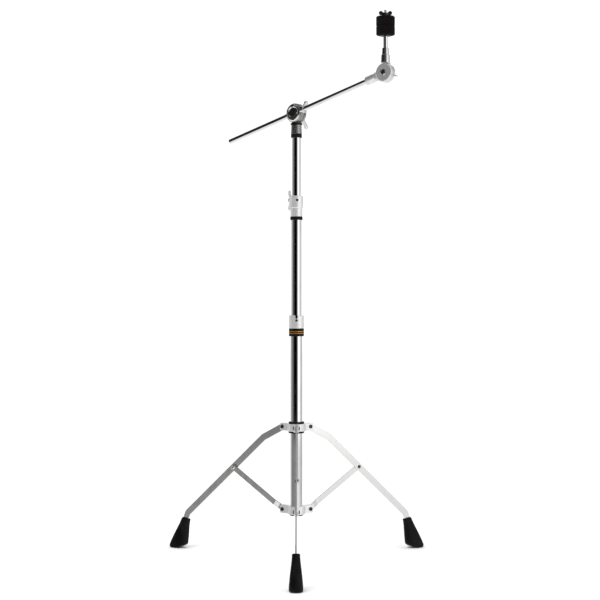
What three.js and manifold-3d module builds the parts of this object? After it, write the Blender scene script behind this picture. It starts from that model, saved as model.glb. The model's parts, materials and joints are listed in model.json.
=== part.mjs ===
// Cymbal boom stand: a folding tripod base, two sliding tubes, a tilting boom and a cymbal holder.
// Millimetres and degrees, +Z up. The origin is on the floor, under the middle of the outer box.
import * as THREE from 'three';
import { mergeVertices } from 'three/addons/utils/BufferGeometryUtils.js';
import Module from 'manifold-3d';

const wasm = await Module();
wasm.setup();

// Clearances and roundness
const gap = 0.3;              // between pieces that touch
const slack = 0.6;            // beside a bar that turns in a slot
const roundSides = 24;
const smallSides = 12;

// Tripod
const legAzimuths = { front: -90, right: 30, left: 150 };
const legWidth = 14.5;
const legThickness = 3;
const legTopLength = 56.2;    // leg pivot to the knee
const legTopSlope = 27.4;
const legLength = 272;        // knee to the ankle bend, just above the foot
const legSlope = 42;
const stayPivotAlong = 103.3; // knee to the stay's rivet
const footHeight = 69.4;
const ankleRise = 9.5;        // ankle bend above the top of the foot
const footLean = 19;
const footGrip = 24;          // how deep the leg sits in its foot
const footSole = [21.5, 14];  // half sizes, along the radius and across it
const footNeck = [11, 8.2];
const pivotReach = 13;        // leg and stay pivots beyond the leg bracket's wall
const earReach = 6;           // ear beyond its pivot
const earThickness = 3.5;
const pinRadius = 2.9;
const pinHeadRadius = 4.35;
const pinHeadHeight = 2;

// Base tube and its brackets
const baseOuter = 12.7;       // tube radii
const baseWall = 1.2;
const baseTop = 510;
const stayBracketLow = 99.5;
const stayBracketHeight = 17.5;
const stayBracketWall = 5.7;
const stayWidth = 12;
const stayThickness = 3;
const stayPivotDrop = 9;      // stay pivot below the stay bracket's top
const stayJoggle = [12, 24];  // where the stay steps sideways, from its lower pivot
const legBracketHeight = 16;
const legBracketWall = 3.8;
const bushWall = 2.4;
const bushFlange = 3.9;
const plugRims = [1.5, 2.9];   // end plug's lower and upper rim beyond the tube
const stopScrewHeight = 167;

// Height clamps
const boltRadius = 4;
const bossRadius = 7;
const bossReach = 9;          // boss face beyond its collar's wall
const lowerCollarWall = 3.2;
const lowerBandHeight = 16.4;
const lowerCollarHeight = 28;
const collarSocket = 11.6;    // how far a collar sits over the tube below
const middleSlack = 0.4;      // between the middle tube and the base tube around it
const middleWall = 1.2;
const middleLow = 300;
const middleTop = 757;
const upperRingHeight = 7;
const upperSocket = 18.7;
const upperCollarWalls = [1.5, 3.1];
const upperCollarHeight = 44.7;
const upperSlack = 0.35;      // between the upper tube and the middle tube around it
const upperWall = 1.1;
const upperLow = 515;
const guideHeight = 4.7;
const guideSpigot = 10;
const upperBoltAzimuth = 115;

// Boom tilter
const neckLow = 908;
const neckRingHeight = 8;
const neckWall = 1.45;
const neckBandRise = 1.2;
const neckBandHeight = 3.7;
const drumHeight = 960.5;     // height of the boom's tilting axis
const drumRadius = 21;
const rotorWalls = [0.7, 0.4]; // rotor's skin over the boom, on its near and far faces
const washerThickness = 1;
const fixedThickness = 8;
const boomYaw = -38;
const boomTilt = 14.7;
const boomOffset = -6.6;      // rod axis from the drum's middle plane
const eyeWall = 3.1;          // eye bolt beyond the boom's sleeve
const boomRadius = 5.15;
const boomBack = 189;         // cut end behind the tilting axis
const boomReach = 244.2;      // cymbal tilter's axis ahead of it
const sleeveWall = 0.95;
const sleeveCollar = [21.6, 28.6];
const sleeveCollarRise = 1.8;

// Cymbal tilter and holder
const tilterRadius = 19.5;
const tilterHalf = 8.7;       // thickness of each half
const ferruleWall = 3.4;
const ferruleLength = 28;
const postWalls = [4.05, 2.05];
const postHeights = [17, 14];
const tilterBoltRadius = 3.9;
const rodRadius = 4.65;
const rodShoulder = 75;       // above the cymbal tilter's axis
const stemRadius = 3.1;
const stemTop = 128.5;
const feltSleeveWall = 1.8;
const sleeveFlange = [12, 1.5];
const feltRadius = 19.2;
const lowerFeltHeight = 18.2;
const upperFeltHeight = 19;
const topWasher = [9.5, 1.4];

// Wings: how far they reach, the round end's radius and lift above the hub's seat, and the root's lift
const boltWings = { span: 22, lobe: 5, lift: 8.5, root: [1, 7.5], thickness: 4 };
const boomWings = { span: 31, lobe: 5, lift: 23.6, root: [1.6, 9.6], thickness: 5 };
const endWings = { span: 18, lobe: 4.1, lift: 8.7, root: [2.7, 7.9], thickness: 3.4 };
const topWings = { span: 13.6, lobe: 4.4, lift: 5.4, root: [1, 5], thickness: 3 };

// Worked out from the values above
const turn = Math.PI / 180;
const cosine = (degrees) => Math.cos(degrees * turn);
const sine = (degrees) => Math.sin(degrees * turn);
const middleOuter = baseOuter - baseWall - middleSlack;
const upperOuter = middleOuter - middleWall - upperSlack;
const stayBracketRadius = baseOuter + gap + stayBracketWall;
const legBracketBore = baseOuter + gap + bushWall + gap;
const legBracketRadius = legBracketBore + legBracketWall;
const pivotRadius = legBracketRadius + pivotReach;
const lowerCollarRadius = baseOuter + gap + lowerCollarWall;
const upperCollarRadii = upperCollarWalls.map((wall) => middleOuter + gap + wall);
const neckRadius = upperOuter + gap + neckWall;
const neckBandRadius = neckRadius + neckBandRise;
const boomSleeveRadius = boomRadius + gap + sleeveWall;
const sleeveCollarRadius = boomSleeveRadius + sleeveCollarRise;
const eyeRadius = boomSleeveRadius + eyeWall;
const rotorFaces = [boomOffset - boomSleeveRadius - gap - rotorWalls[0],
  boomOffset + boomSleeveRadius + gap + rotorWalls[1]];
const ferruleRadius = boomRadius + gap + ferruleWall;
const postRadii = postWalls.map((wall) => rodRadius + gap + wall);
const sleeveOuter = stemRadius + gap + feltSleeveWall;
const ankleHeight = footHeight + ankleRise * cosine(footLean);
const knee = {
  r: pivotRadius + legTopLength * cosine(legTopSlope),
  z: ankleHeight + legLength * sine(legSlope),
};
const ankle = { r: knee.r + legLength * cosine(legSlope), z: ankleHeight };
const footTop = { r: ankle.r + ankleRise * sine(footLean), z: footHeight };
const legPivotHeight = knee.z + legTopLength * sine(legTopSlope);
const stayTop = {
  r: knee.r + stayPivotAlong * cosine(legSlope),
  z: knee.z - stayPivotAlong * sine(legSlope),
};
const stayPivotHeight = stayBracketLow + stayBracketHeight - stayPivotDrop;
const stayLength = Math.hypot(stayTop.r - pivotRadius, stayTop.z - stayPivotHeight);
const stayRise = Math.atan2(stayTop.z - stayPivotHeight, stayTop.r - pivotRadius) / turn;
const staySide = (legThickness + stayThickness) / 2 + gap;
const earInside = (legThickness + slack) / 2;
const earOutside = earInside + earThickness;
const lowerCollarLow = baseTop - collarSocket;
const lowerCollarTop = lowerCollarLow + lowerCollarHeight;
const lowerBushWall = lowerCollarRadius - 2 - gap - (middleOuter + gap);
const lowerBoltHeight = (baseTop + lowerCollarTop) / 2;
const upperCollarLow = middleTop - upperSocket;
const upperCollarTop = upperCollarLow + upperCollarHeight;
const upperBoltHeight = middleTop + 18.5;
const fixedFace = rotorFaces[1] + gap + washerThickness + gap;
const neckTop = drumHeight - drumRadius - gap;
const ferruleEnd = tilterRadius + gap;
const feltLow = rodShoulder + gap + sleeveFlange[1] + gap;
const feltTop = feltLow + lowerFeltHeight + gap + upperFeltHeight;

const looks = {
  chrome: { color: 0xd8dadc, metalness: 1, roughness: 0.08 },
  bar: { color: 0xc4c4c2, metalness: 1, roughness: 0.22 },
  cast: { color: 0xb9babc, metalness: 1, roughness: 0.32 },
  nylon: { color: 0x121214, metalness: 0, roughness: 0.45 },
  rubber: { color: 0x0b0b0c, metalness: 0, roughness: 0.75 },
  felt: { color: 0x0d0d0e, metalness: 0, roughness: 1 },
  steel: { color: 0x2c2c2e, metalness: 1, roughness: 0.35 },
};

// ---- Shapes ----

// A closed outline of (radius, height) points turned about +Z.
function turned(outline, sides = roundSides) {
  const points = outline.map(([radius, height]) => new THREE.Vector2(radius, height));
  return new THREE.LatheGeometry(points, sides).rotateX(Math.PI / 2);
}

// A ring from one radius to another between two heights, with its outer edges chamfered.
function ring(inner, outer, low, high, chamfer = 0, sides = roundSides) {
  const edge = outer - chamfer;
  return turned([[inner, low], [edge, low], [outer, low + chamfer], [outer, high - chamfer],
    [edge, high], [inner, high], [inner, low]].filter(differs), sides);
}

function differs([radius, height], index, points) {
  return index === 0 || radius !== points[index - 1][0] || height !== points[index - 1][1];
}

// A round bar between two heights, with its ends chamfered.
function bar(radius, low, high, chamfer = 0, sides = smallSides) {
  return turned([[0, low], [radius - chamfer, low], [radius, low + chamfer], [radius, high - chamfer],
    [radius - chamfer, high], [0, high]].filter(differs), sides);
}

function block(x, y, z) {
  return new THREE.BoxGeometry(x[1] - x[0], y[1] - y[0], z[1] - z[0])
    .translate((x[0] + x[1]) / 2, (y[0] + y[1]) / 2, (z[0] + z[1]) / 2);
}

// An outline in X and Z, made solid between two Y values.
function slab(shape, y, curveSegments = 6) {
  const depth = y[1] - y[0];
  return new THREE.ExtrudeGeometry(shape, { depth, bevelEnabled: false, curveSegments })
    .rotateX(Math.PI / 2).translate(0, y[1], 0);
}

// Turns a shape made about +Z so that its axis points along +Y.
const alongY = (geometry) => geometry.rotateX(-Math.PI / 2);
const alongX = (geometry) => geometry.rotateY(Math.PI / 2);

// ---- Joining and cutting ----

function solid(geometry) {
  const bare = geometry.clone();
  bare.deleteAttribute('normal');
  bare.deleteAttribute('uv');
  const merged = mergeVertices(bare, 1e-4);
  const index = merged.index.array;
  const corners = [];
  for (let i = 0; i < index.length; i += 3) {
    const [a, b, c] = [index[i], index[i + 1], index[i + 2]];
    if (a !== b && b !== c && c !== a) corners.push(a, b, c);
  }
  const vertProperties = Float32Array.from(merged.attributes.position.array);
  const triVerts = Uint32Array.from(corners);
  return new wasm.Manifold(new wasm.Mesh({ numProp: 3, vertProperties, triVerts }));
}

function surface(shape) {
  const mesh = shape.getMesh();
  const geometry = new THREE.BufferGeometry();
  geometry.setAttribute('position', new THREE.BufferAttribute(mesh.vertProperties, 3));
  geometry.setIndex(new THREE.BufferAttribute(mesh.triVerts, 1));
  return geometry;
}

const joined = (...pieces) => surface(pieces.map(solid).reduce((all, piece) => all.add(piece)));
const carved = (body, ...cuts) => surface(cuts.map(solid)
  .reduce((left, cut) => left.subtract(cut), solid(body)));
const shared = (a, b) => surface(solid(a).intersect(solid(b)));

// ---- The scene ----

function piece(parent, name, look, geometry) {
  const mesh = new THREE.Mesh(geometry, new THREE.MeshStandardMaterial(looks[look]));
  mesh.name = name;
  parent.add(mesh);
  return mesh;
}

function group(parent, { position = [0, 0, 0], aboutY = 0, aboutZ = 0 } = {}) {
  const made = new THREE.Group();
  made.position.set(...position);
  made.rotation.set(0, aboutY * turn, aboutZ * turn);
  parent.add(made);
  return made;
}

// ---- Fasteners ----

// A rivet along +Y with a head at each end, outside two faces.
function rivet(faces) {
  const low = faces[0] - gap;
  const high = faces[1] + gap;
  return alongY(turned([[0, low - pinHeadHeight], [pinHeadRadius, low - pinHeadHeight], [pinHeadRadius, low],
    [pinRadius, low], [pinRadius, high], [pinHeadRadius, high], [pinHeadRadius, high + pinHeadHeight],
    [0, high + pinHeadHeight]], smallSides));
}

// Two flat wings along X on a hub about +Y, rising from the hub's seat to a round lobe each.
function wings(seat, { span, lobe, lift, root, thickness }) {
  const [low, high] = root.map((value) => seat + value);
  const [x, y] = [span - lobe, seat + lift];
  const heading = Math.atan2(y - (low + high) / 2, x);
  const quarter = Math.PI / 2;
  const shape = new THREE.Shape();
  shape.absarc(x, y, lobe, heading - quarter, heading + quarter, false);
  shape.lineTo(0, high);
  shape.absarc(-x, y, lobe, quarter - heading, 3 * quarter - heading, false);
  shape.lineTo(0, low);
  return new THREE.ExtrudeGeometry(shape, { depth: thickness, bevelEnabled: false, curveSegments: 4 })
    .translate(0, 0, -thickness / 2);
}

// A wing bolt along +Y: its tip is at the first value, its hub from the second to the third.
function wingBolt(tip, hub) {
  const head = alongY(bar(6.5, hub[0], hub[1], 1));
  const stem = alongY(bar(boltRadius, tip, hub[0] + 1));
  return joined(head, stem, wings(hub[0], boltWings));
}

// A wing nut on +Y over a stud, its seat at the first value.
function wingNut(hub, hubRadius, bore, size) {
  const body = turned([[0, hub[0]], [hubRadius, hub[0]], [hubRadius - 1.4, hub[1]], [0, hub[1]]], smallSides);
  const hole = bar(bore, hub[0] - 5, Math.max(hub[1], hub[0] + size.root[1]) + 5);
  return carved(joined(alongY(body), wings(hub[0], size)), alongY(hole));
}

// ---- Tripod ----

// A flat bar of even width along a list of (radius, height) points, rounded at its first end.
function strip(points, width, y) {
  const half = width / 2;
  const shape = new THREE.Shape();
  const headings = points.slice(1).map((p, i) => Math.atan2(p[1] - points[i][1], p[0] - points[i][0]));
  const sideOf = (point, heading, side) => [point[0] - side * half * Math.sin(heading),
    point[1] + side * half * Math.cos(heading)];
  const start = headings[0];
  shape.absarc(points[0][0], points[0][1], half, start + Math.PI / 2, start + Math.PI * 1.5, false);
  const edge = (side) => points.slice(1, -1).map((point, i) => {
    const bend = (headings[i + 1] - headings[i]) / 2;
    const reach = half / Math.cos(bend);
    const heading = (headings[i + 1] + headings[i]) / 2;
    return [point[0] - side * reach * Math.sin(heading), point[1] + side * reach * Math.cos(heading)];
  });
  const end = points[points.length - 1];
  const last = headings[headings.length - 1];
  for (const corner of edge(-1)) shape.lineTo(...corner);
  shape.lineTo(...sideOf(end, last, -1));
  shape.lineTo(...sideOf(end, last, 1));
  for (const corner of edge(1).reverse()) shape.lineTo(...corner);
  return slab(shape, y, 4);
}

// Points on a quarter-like bend between two straight runs, cut back by the same length each side.
function bend(before, corner, after, cut, steps = 3) {
  const toward = (target) => {
    const length = Math.hypot(target[0] - corner[0], target[1] - corner[1]);
    return corner.map((value, i) => value + (target[i] - value) * cut / length);
  };
  const curve = new THREE.QuadraticBezierCurve(new THREE.Vector2(...toward(before)),
    new THREE.Vector2(...corner), new THREE.Vector2(...toward(after)));
  return curve.getPoints(steps).map((point) => [point.x, point.y]);
}

function legEnd() {
  return [footTop.r + footGrip * sine(footLean), footTop.z - footGrip * cosine(footLean)];
}

function makeLeg() {
  const pivot = [pivotRadius, legPivotHeight];
  const end = legEnd();
  const corners = [[knee.r, knee.z], [ankle.r, ankle.z]];
  const path = [pivot, ...bend(pivot, corners[0], corners[1], 12),
    ...bend(corners[0], corners[1], end, 9), end];
  const half = legThickness / 2;
  const hole = alongY(bar(pinRadius + gap, -half - 1, half + 1)).translate(pivot[0], 0, pivot[1]);
  return carved(strip(path, legWidth, [-half, half]), hole);
}

// A leaning rubber boot: rounded sections stacked along its axis, flat on the floor, slotted for the leg.
function makeFoot() {
  const sides = 16;
  const levels = [[-8, 0.96], [3, 1], [12, 0.93], [28, 0.72], [48, 0.36], [62, 0.12], [69, 0], [73.4, -0.18]];
  const axis = new THREE.Vector3(-sine(footLean), 0, cosine(footLean));
  const across = new THREE.Vector3(cosine(footLean), 0, sine(footLean));
  const length = footHeight / cosine(footLean);
  const root = new THREE.Vector3(footTop.r, 0, footTop.z).addScaledVector(axis, -length);
  const positions = [];
  for (const [level, share] of levels) {
    const half = [0, 1].map((i) => footNeck[i] + (footSole[i] - footNeck[i]) * share);
    const centre = root.clone().addScaledVector(axis, level * length / 73.4);
    for (let i = 0; i < sides; i += 1) {
      const angle = 2 * Math.PI * i / sides;
      const soft = (value) => Math.sign(value) * Math.abs(value) ** 0.82;
      const point = centre.clone().addScaledVector(across, half[0] * soft(Math.cos(angle)));
      positions.push(point.x, half[1] * soft(Math.sin(angle)), point.z);
    }
  }
  const index = [];
  const last = (levels.length - 1) * sides;
  for (let row = 0; row < last; row += sides) {
    for (let i = 0; i < sides; i += 1) {
      const next = (i + 1) % sides;
      index.push(row + i, row + next, row + sides + next, row + i, row + sides + next, row + sides + i);
    }
  }
  for (let i = 1; i < sides - 1; i += 1) index.push(0, i + 1, i, last, last + i, last + i + 1);
  const boot = new THREE.BufferGeometry();
  boot.setAttribute('position', new THREE.Float32BufferAttribute(positions, 3));
  boot.setIndex(index);
  const floor = block([footTop.r - 90, footTop.r + 120], [-60, 60], [-80, 0]);
  const slotHalf = legWidth / 2 + gap;
  const slot = block([-slotHalf, slotHalf], [-legThickness / 2 - gap, legThickness / 2 + gap],
    [-footGrip - gap, 30]).rotateY(-footLean * turn).translate(footTop.r, 0, footTop.z);
  return carved(boot, floor, slot);
}

// A stay lies along +X from its lower pivot, steps sideways past the ears and ends on its rivet.
function makeStay() {
  const half = stayThickness / 2;
  const [step, stepped] = stayJoggle;
  const shape = new THREE.Shape();
  shape.moveTo(-stayWidth, -half);
  shape.lineTo(step, -half);
  shape.lineTo(stepped, staySide - half);
  shape.lineTo(stayLength + stayWidth, staySide - half);
  shape.lineTo(stayLength + stayWidth, staySide + half);
  shape.lineTo(stepped, staySide + half);
  shape.lineTo(step, half);
  shape.lineTo(-stayWidth, half);
  const plan = new THREE.ExtrudeGeometry(shape, { depth: stayWidth * 2, bevelEnabled: false })
    .translate(0, 0, -stayWidth);
  const face = new THREE.Shape();
  face.absarc(0, 0, stayWidth / 2, Math.PI / 2, Math.PI * 1.5, false);
  face.absarc(stayLength, 0, stayWidth / 2, -Math.PI / 2, Math.PI / 2, false);
  const bore = (x) => alongY(bar(pinRadius + gap, -20, 20)).translate(x, 0, 0);
  return carved(shared(plan, slab(face, [-20, 20], 4)), bore(0), bore(stayLength));
}

// The stay's rivet: a head outside the stay, its shank stopping short of the leg.
function makeStayRivet() {
  const inner = staySide - stayThickness / 2;
  const outer = staySide + stayThickness / 2 + gap;
  return alongY(turned([[0, inner], [pinRadius, inner], [pinRadius, outer], [pinHeadRadius, outer],
    [pinHeadRadius, outer + pinHeadHeight], [0, outer + pinHeadHeight]], smallSides));
}

// The pair of ears that holds a bar's pin, on the +X side of a bracket.
function ears(radius, low, high) {
  const reach = pivotRadius + earReach;
  const corner = 3;
  const shape = new THREE.Shape();
  shape.moveTo(radius - 3, low);
  shape.lineTo(reach - corner, low);
  shape.absarc(reach - corner, low + corner, corner, -Math.PI / 2, 0, false);
  shape.absarc(reach - corner, high - corner, corner, 0, Math.PI / 2, false);
  shape.lineTo(radius - 3, high);
  return [slab(shape, [-earOutside, -earInside], 2), slab(shape, [earInside, earOutside], 2)];
}

// A bracket ring with three pairs of drilled ears.
function earedRing(bore, radius, low, high, pinHeight) {
  const parts = [];
  const holes = [];
  for (const azimuth of Object.values(legAzimuths)) {
    parts.push(...ears(radius, low, high).map((ear) => ear.rotateZ(azimuth * turn)));
    holes.push(alongY(bar(pinRadius + gap, -earOutside - 1, earOutside + 1))
      .translate(pivotRadius, 0, pinHeight).rotateZ(azimuth * turn));
  }
  const core = ring(bore + 1, radius, low, high);
  return carved(joined(core, ...parts), ring(bore - 4, bore, low - 5, high + 5), ...holes);
}

function makeStayBracket() {
  return earedRing(baseOuter + gap, stayBracketRadius, stayBracketLow, stayBracketLow + stayBracketHeight,
    stayPivotHeight);
}

const legBracketLow = legPivotHeight - 8.5;
const legBracketTop = legBracketLow + legBracketHeight;
const legBoltHeight = (legBracketLow + legBracketTop) / 2;

// A round boss on +Y that a wing bolt passes through, and the hole for it.
const boss = (radius, height) => alongY(bar(bossRadius, radius - 3, radius + bossReach, 1))
  .translate(0, 0, height);
const boltHole = (from, to, height) => alongY(bar(boltRadius + gap, from, to)).translate(0, 0, height);

function makeLegBracket() {
  const eared = earedRing(legBracketBore, legBracketRadius, legBracketLow, legBracketTop, legPivotHeight);
  const body = joined(eared, boss(legBracketRadius, legBoltHeight));
  return carved(body, boltHole(legBracketBore - 2, legBracketRadius + bossReach + 2, legBoltHeight));
}

// A nylon bush with a flange above and below the bracket, drilled for the pad.
function makeLegBush() {
  const inner = baseOuter + gap;
  const outer = inner + bushWall;
  const low = legBracketLow - gap;
  const high = legBracketTop + gap;
  const bush = turned([[inner, low - bushFlange], [outer + 1.4, low - bushFlange], [outer + 1.4, low],
    [outer, low], [outer, high], [outer + 1.4, high], [outer + 1.4, high + bushFlange],
    [inner, high + bushFlange], [inner, low - bushFlange]]);
  return carved(bush, boltHole(inner - 3, outer + 3, legBoltHeight));
}

// A clamp's pad and wing bolt on +Y: the pad touches the tube and the bolt's tip touches the pad.
function clampPair(parent, name, tubeRadius, seat, height, azimuth, turnOfWings) {
  const holder = group(parent, { position: [0, 0, height], aboutZ: azimuth - 90 });
  const padLow = tubeRadius + gap;
  const padHigh = padLow + 2.2;
  piece(holder, `${name}_pad`, 'steel', alongY(bar(boltRadius - 0.1, padLow, padHigh)));
  const bolt = wingBolt(padHigh + gap, [seat + 3, seat + 10]).rotateY(turnOfWings * turn);
  piece(holder, `${name}_wing_bolt`, 'cast', bolt);
}

function makeTripod(parent) {
  piece(parent, 'stay_bracket', 'cast', makeStayBracket());
  piece(parent, 'leg_bracket', 'cast', makeLegBracket());
  piece(parent, 'leg_bracket_bush', 'nylon', makeLegBush());
  clampPair(parent, 'leg_bracket', baseOuter, legBracketRadius + bossReach, legBoltHeight, 90, 0);
  for (const [side, azimuth] of Object.entries(legAzimuths)) {
    const leg = group(parent, { aboutZ: azimuth });
    piece(leg, `leg_${side}`, 'bar', makeLeg());
    piece(leg, `foot_${side}`, 'rubber', makeFoot());
    piece(leg, `leg_pin_${side}`, 'steel', rivet([-earOutside, earOutside])
      .translate(pivotRadius, 0, legPivotHeight));
    piece(leg, `stay_pin_${side}`, 'steel', rivet([-earOutside, earOutside])
      .translate(pivotRadius, 0, stayPivotHeight));
    const stay = group(leg, { position: [pivotRadius, 0, stayPivotHeight], aboutY: -stayRise });
    piece(stay, `stay_${side}`, 'bar', makeStay());
    piece(leg, `stay_rivet_${side}`, 'steel', makeStayRivet().translate(stayTop.r, 0, stayTop.z));
  }
}

// ---- Tubes and height clamps ----

function makeEndPlug() {
  const spigot = baseOuter - baseWall - gap;
  const top = stayBracketLow - gap;
  return turned([[0, top - 2.8], [baseOuter + plugRims[0], top - 2.8], [baseOuter + plugRims[1], top],
    [spigot, top], [spigot, top + 12], [0, top + 12]]);
}

// The stop screw's low dome on the front of the base tube.
function makeStopScrew() {
  const seat = baseOuter + gap;
  return alongY(turned([[0, seat], [3, seat], [3, seat + 1.2], [0, seat + 2.6]], smallSides))
    .rotateZ(Math.PI + 0.2).translate(0, 0, stopScrewHeight);
}

// The slot and the set screw on the -Y side of a collar.
const frontNotch = (radius, top) => joined(
  alongY(bar(2.5, -radius - 2, -radius + 3.5)).translate(0, 0, top - 4.5),
  block([-2.5, 2.5], [-radius - 2, -radius + 3.5], [top - 4.5, top + 2]));
const setScrew = (from, to, height) => alongY(bar(2.4, -to, -from)).translate(0, 0, height);
const setScrewHole = (from, to, height) => alongY(bar(2.4 + gap, -to, -from)).translate(0, 0, height);

function makeLowerCollar() {
  const socket = baseOuter + gap;
  const bore = middleOuter + gap + lowerBushWall + gap;
  const low = lowerCollarLow;
  const high = lowerCollarTop;
  const body = joined(turned([[socket, low], [lowerCollarRadius - 0.8, low], [lowerCollarRadius, low + 0.8],
    [lowerCollarRadius, high - 1.2], [lowerCollarRadius - 1.2, high], [bore, high], [bore, baseTop + gap],
    [socket, baseTop + gap], [socket, low]]), boss(lowerCollarRadius, lowerBoltHeight));
  return carved(body, alongY(bar(boltRadius + gap, bore - 3, lowerCollarRadius + bossReach + 2))
    .translate(0, 0, lowerBoltHeight), frontNotch(lowerCollarRadius, high),
  setScrewHole(bore - 1, lowerCollarRadius + 2, lowerBoltHeight - 2.6),
  ring(bore - 6, bore, baseTop + gap, high + 5));
}

function makeLowerBush() {
  const inner = middleOuter + gap;
  const outer = inner + lowerBushWall;
  const low = baseTop + 2 * gap;
  const high = lowerCollarTop - gap;
  return carved(ring(inner, outer, low, high), boltHole(inner - 3, outer + 3, lowerBoltHeight),
    setScrewHole(outer - 1.6, outer + 3, lowerBoltHeight - 2.6));
}

function makeUpperCollar() {
  const socket = middleOuter + gap;
  const [slim, wide] = upperCollarRadii;
  const bore = wide - 2.2;
  const low = upperCollarLow + gap;
  const high = upperCollarTop;
  const body = turned([[socket, low], [slim, low], [slim, middleTop], [wide, middleTop + 1.6],
    [wide, high - 1.2], [wide - 1.2, high], [bore, high], [bore, middleTop + 1.6],
    [socket, middleTop + gap], [socket, low]]);
  const clampBoss = boss(wide, upperBoltHeight).rotateZ((upperBoltAzimuth - 90) * turn);
  const clampHole = boltHole(bore - 3, wide + bossReach + 2, upperBoltHeight)
    .rotateZ((upperBoltAzimuth - 90) * turn);
  return carved(joined(body, clampBoss), clampHole, ring(bore - 6, bore, middleTop + 1.6, high + 5),
    setScrewHole(bore - 1, wide + 2, upperBoltHeight - 2).rotateZ(0.12));
}

function makeUpperBush() {
  const inner = upperOuter + gap;
  const outer = upperCollarRadii[1] - 2.2 - gap;
  const bush = ring(inner, outer, middleTop + 2.2, upperCollarTop - gap);
  return carved(bush, boltHole(inner - 3, outer + 3, upperBoltHeight).rotateZ((upperBoltAzimuth - 90) * turn),
    setScrewHole(outer - 1.2, outer + 3, upperBoltHeight - 2).rotateZ(0.12));
}

// A nylon guide at a sliding tube's lower end: a disc that fits the tube around it, and a spigot.
function makeGuide(tubeLow, tubeInner, outerTubeInner) {
  const rim = outerTubeInner - gap;
  const low = tubeLow - gap - guideHeight;
  const spigot = tubeInner - gap;
  return turned([[0, low], [rim, low], [rim, low + guideHeight], [spigot, low + guideHeight],
    [spigot, tubeLow + guideSpigot], [0, tubeLow + guideSpigot]]);
}

function makeColumn(parent) {
  const baseInner = baseOuter - baseWall;
  piece(parent, 'base_tube', 'chrome', ring(baseInner, baseOuter, stayBracketLow, baseTop));
  piece(parent, 'tube_end_plug', 'nylon', makeEndPlug());
  piece(parent, 'stop_screw', 'steel', makeStopScrew());
  piece(parent, 'lower_band', 'nylon', ring(baseOuter + gap, lowerCollarRadius,
    lowerCollarLow - gap - lowerBandHeight, lowerCollarLow - gap));
  piece(parent, 'lower_collar', 'cast', makeLowerCollar());
  piece(parent, 'lower_bush', 'nylon', makeLowerBush());
  piece(parent, 'lower_set_screw', 'steel', setScrew(lowerCollarRadius - 3, lowerCollarRadius + 0.4,
    lowerBoltHeight - 2.6));
  clampPair(parent, 'lower', middleOuter, lowerCollarRadius + bossReach, lowerBoltHeight, 90, 90);

  piece(parent, 'middle_guide', 'nylon', makeGuide(middleLow, middleOuter - middleWall, baseInner));
  piece(parent, 'middle_tube', 'chrome', ring(middleOuter - middleWall, middleOuter, middleLow, middleTop));
  piece(parent, 'upper_collar_ring', 'nylon', ring(middleOuter + gap, upperCollarRadii[0] + 0.45,
    upperCollarLow - upperRingHeight, upperCollarLow, 1.6));
  piece(parent, 'upper_collar', 'cast', makeUpperCollar());
  piece(parent, 'upper_bush', 'nylon', makeUpperBush());
  piece(parent, 'upper_set_screw', 'steel', setScrew(upperCollarRadii[1] - 2.6, upperCollarRadii[1] + 0.4,
    upperBoltHeight - 2).rotateZ(0.12));
  clampPair(parent, 'upper', upperOuter, upperCollarRadii[1] + bossReach, upperBoltHeight,
    upperBoltAzimuth, 90);

  const upperInner = upperOuter - upperWall;
  piece(parent, 'upper_guide', 'nylon', makeGuide(upperLow, upperInner, middleOuter - middleWall));
  piece(parent, 'upper_tube', 'chrome', ring(upperInner, upperOuter, upperLow, neckLow + neckRingHeight + 8));
  piece(parent, 'neck_ring', 'nylon', ring(upperOuter + gap, neckRadius + 0.5, neckLow,
    neckLow + neckRingHeight, 1.2));
}

// ---- Boom tilter: in its own frame, X along the boom's heading, +Y away from the clamp's face ----

// The neck over the upper tube, with the fixed half of the drum on its +Y side.
function makeTilterBase() {
  const low = neckLow + neckRingHeight + gap - drumHeight;
  const band = neckTop - drumHeight;
  const neck = turned([[0, low], [neckRadius, low], [neckRadius, band - neckBandHeight],
    [neckBandRadius, band - neckBandHeight], [neckBandRadius, band], [0, band]]);
  const far = fixedFace + fixedThickness;
  const half = alongY(turned([[0, fixedFace], [drumRadius, fixedFace], [drumRadius, far - 2.5],
    [drumRadius - 2.5, far], [0, far]]));
  const saddle = block([-8, 8], [fixedFace, far - 1], [band - 1, -drumRadius + 6]);
  const socket = bar(upperOuter + gap, low - 5, low + 8 + gap, 0, roundSides);
  return carved(joined(neck, half, saddle), socket, alongY(bar(boltRadius + gap, fixedFace - 3, far + 5)));
}

function makeFrictionWasher() {
  const low = rotorFaces[1] + gap;
  return alongY(ring(eyeRadius + gap, drumRadius - 1.5, low, low + washerThickness));
}

// The turning half of the drum, bored across for the boom and through its middle for the eye bolt.
function makeRotor() {
  const [near, inner] = rotorFaces;
  const eye = eyeRadius + gap;
  const half = alongY(turned([[eye, near], [drumRadius - 4, near], [drumRadius - 1, near + 1.6],
    [drumRadius, near + 4], [drumRadius, inner], [eye, inner], [eye, near]]));
  return carved(half, alongX(bar(boomSleeveRadius + gap, -40, 40)).translate(0, boomOffset, 0));
}

// The eye bolt: a plug that the boom passes through, with a stud for the wing nut.
function makeEyeBolt() {
  const near = rotorFaces[0] - 0.6;
  const stud = fixedFace + fixedThickness + 17;
  const plug = alongY(turned([[0, near], [eyeRadius - 1.6, near], [eyeRadius, near + 1.2],
    [eyeRadius, rotorFaces[1]], [boltRadius, rotorFaces[1]], [boltRadius, stud], [0, stud]]));
  return carved(plug, alongX(bar(boomSleeveRadius + gap, -40, 40)).translate(0, boomOffset, 0));
}

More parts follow.
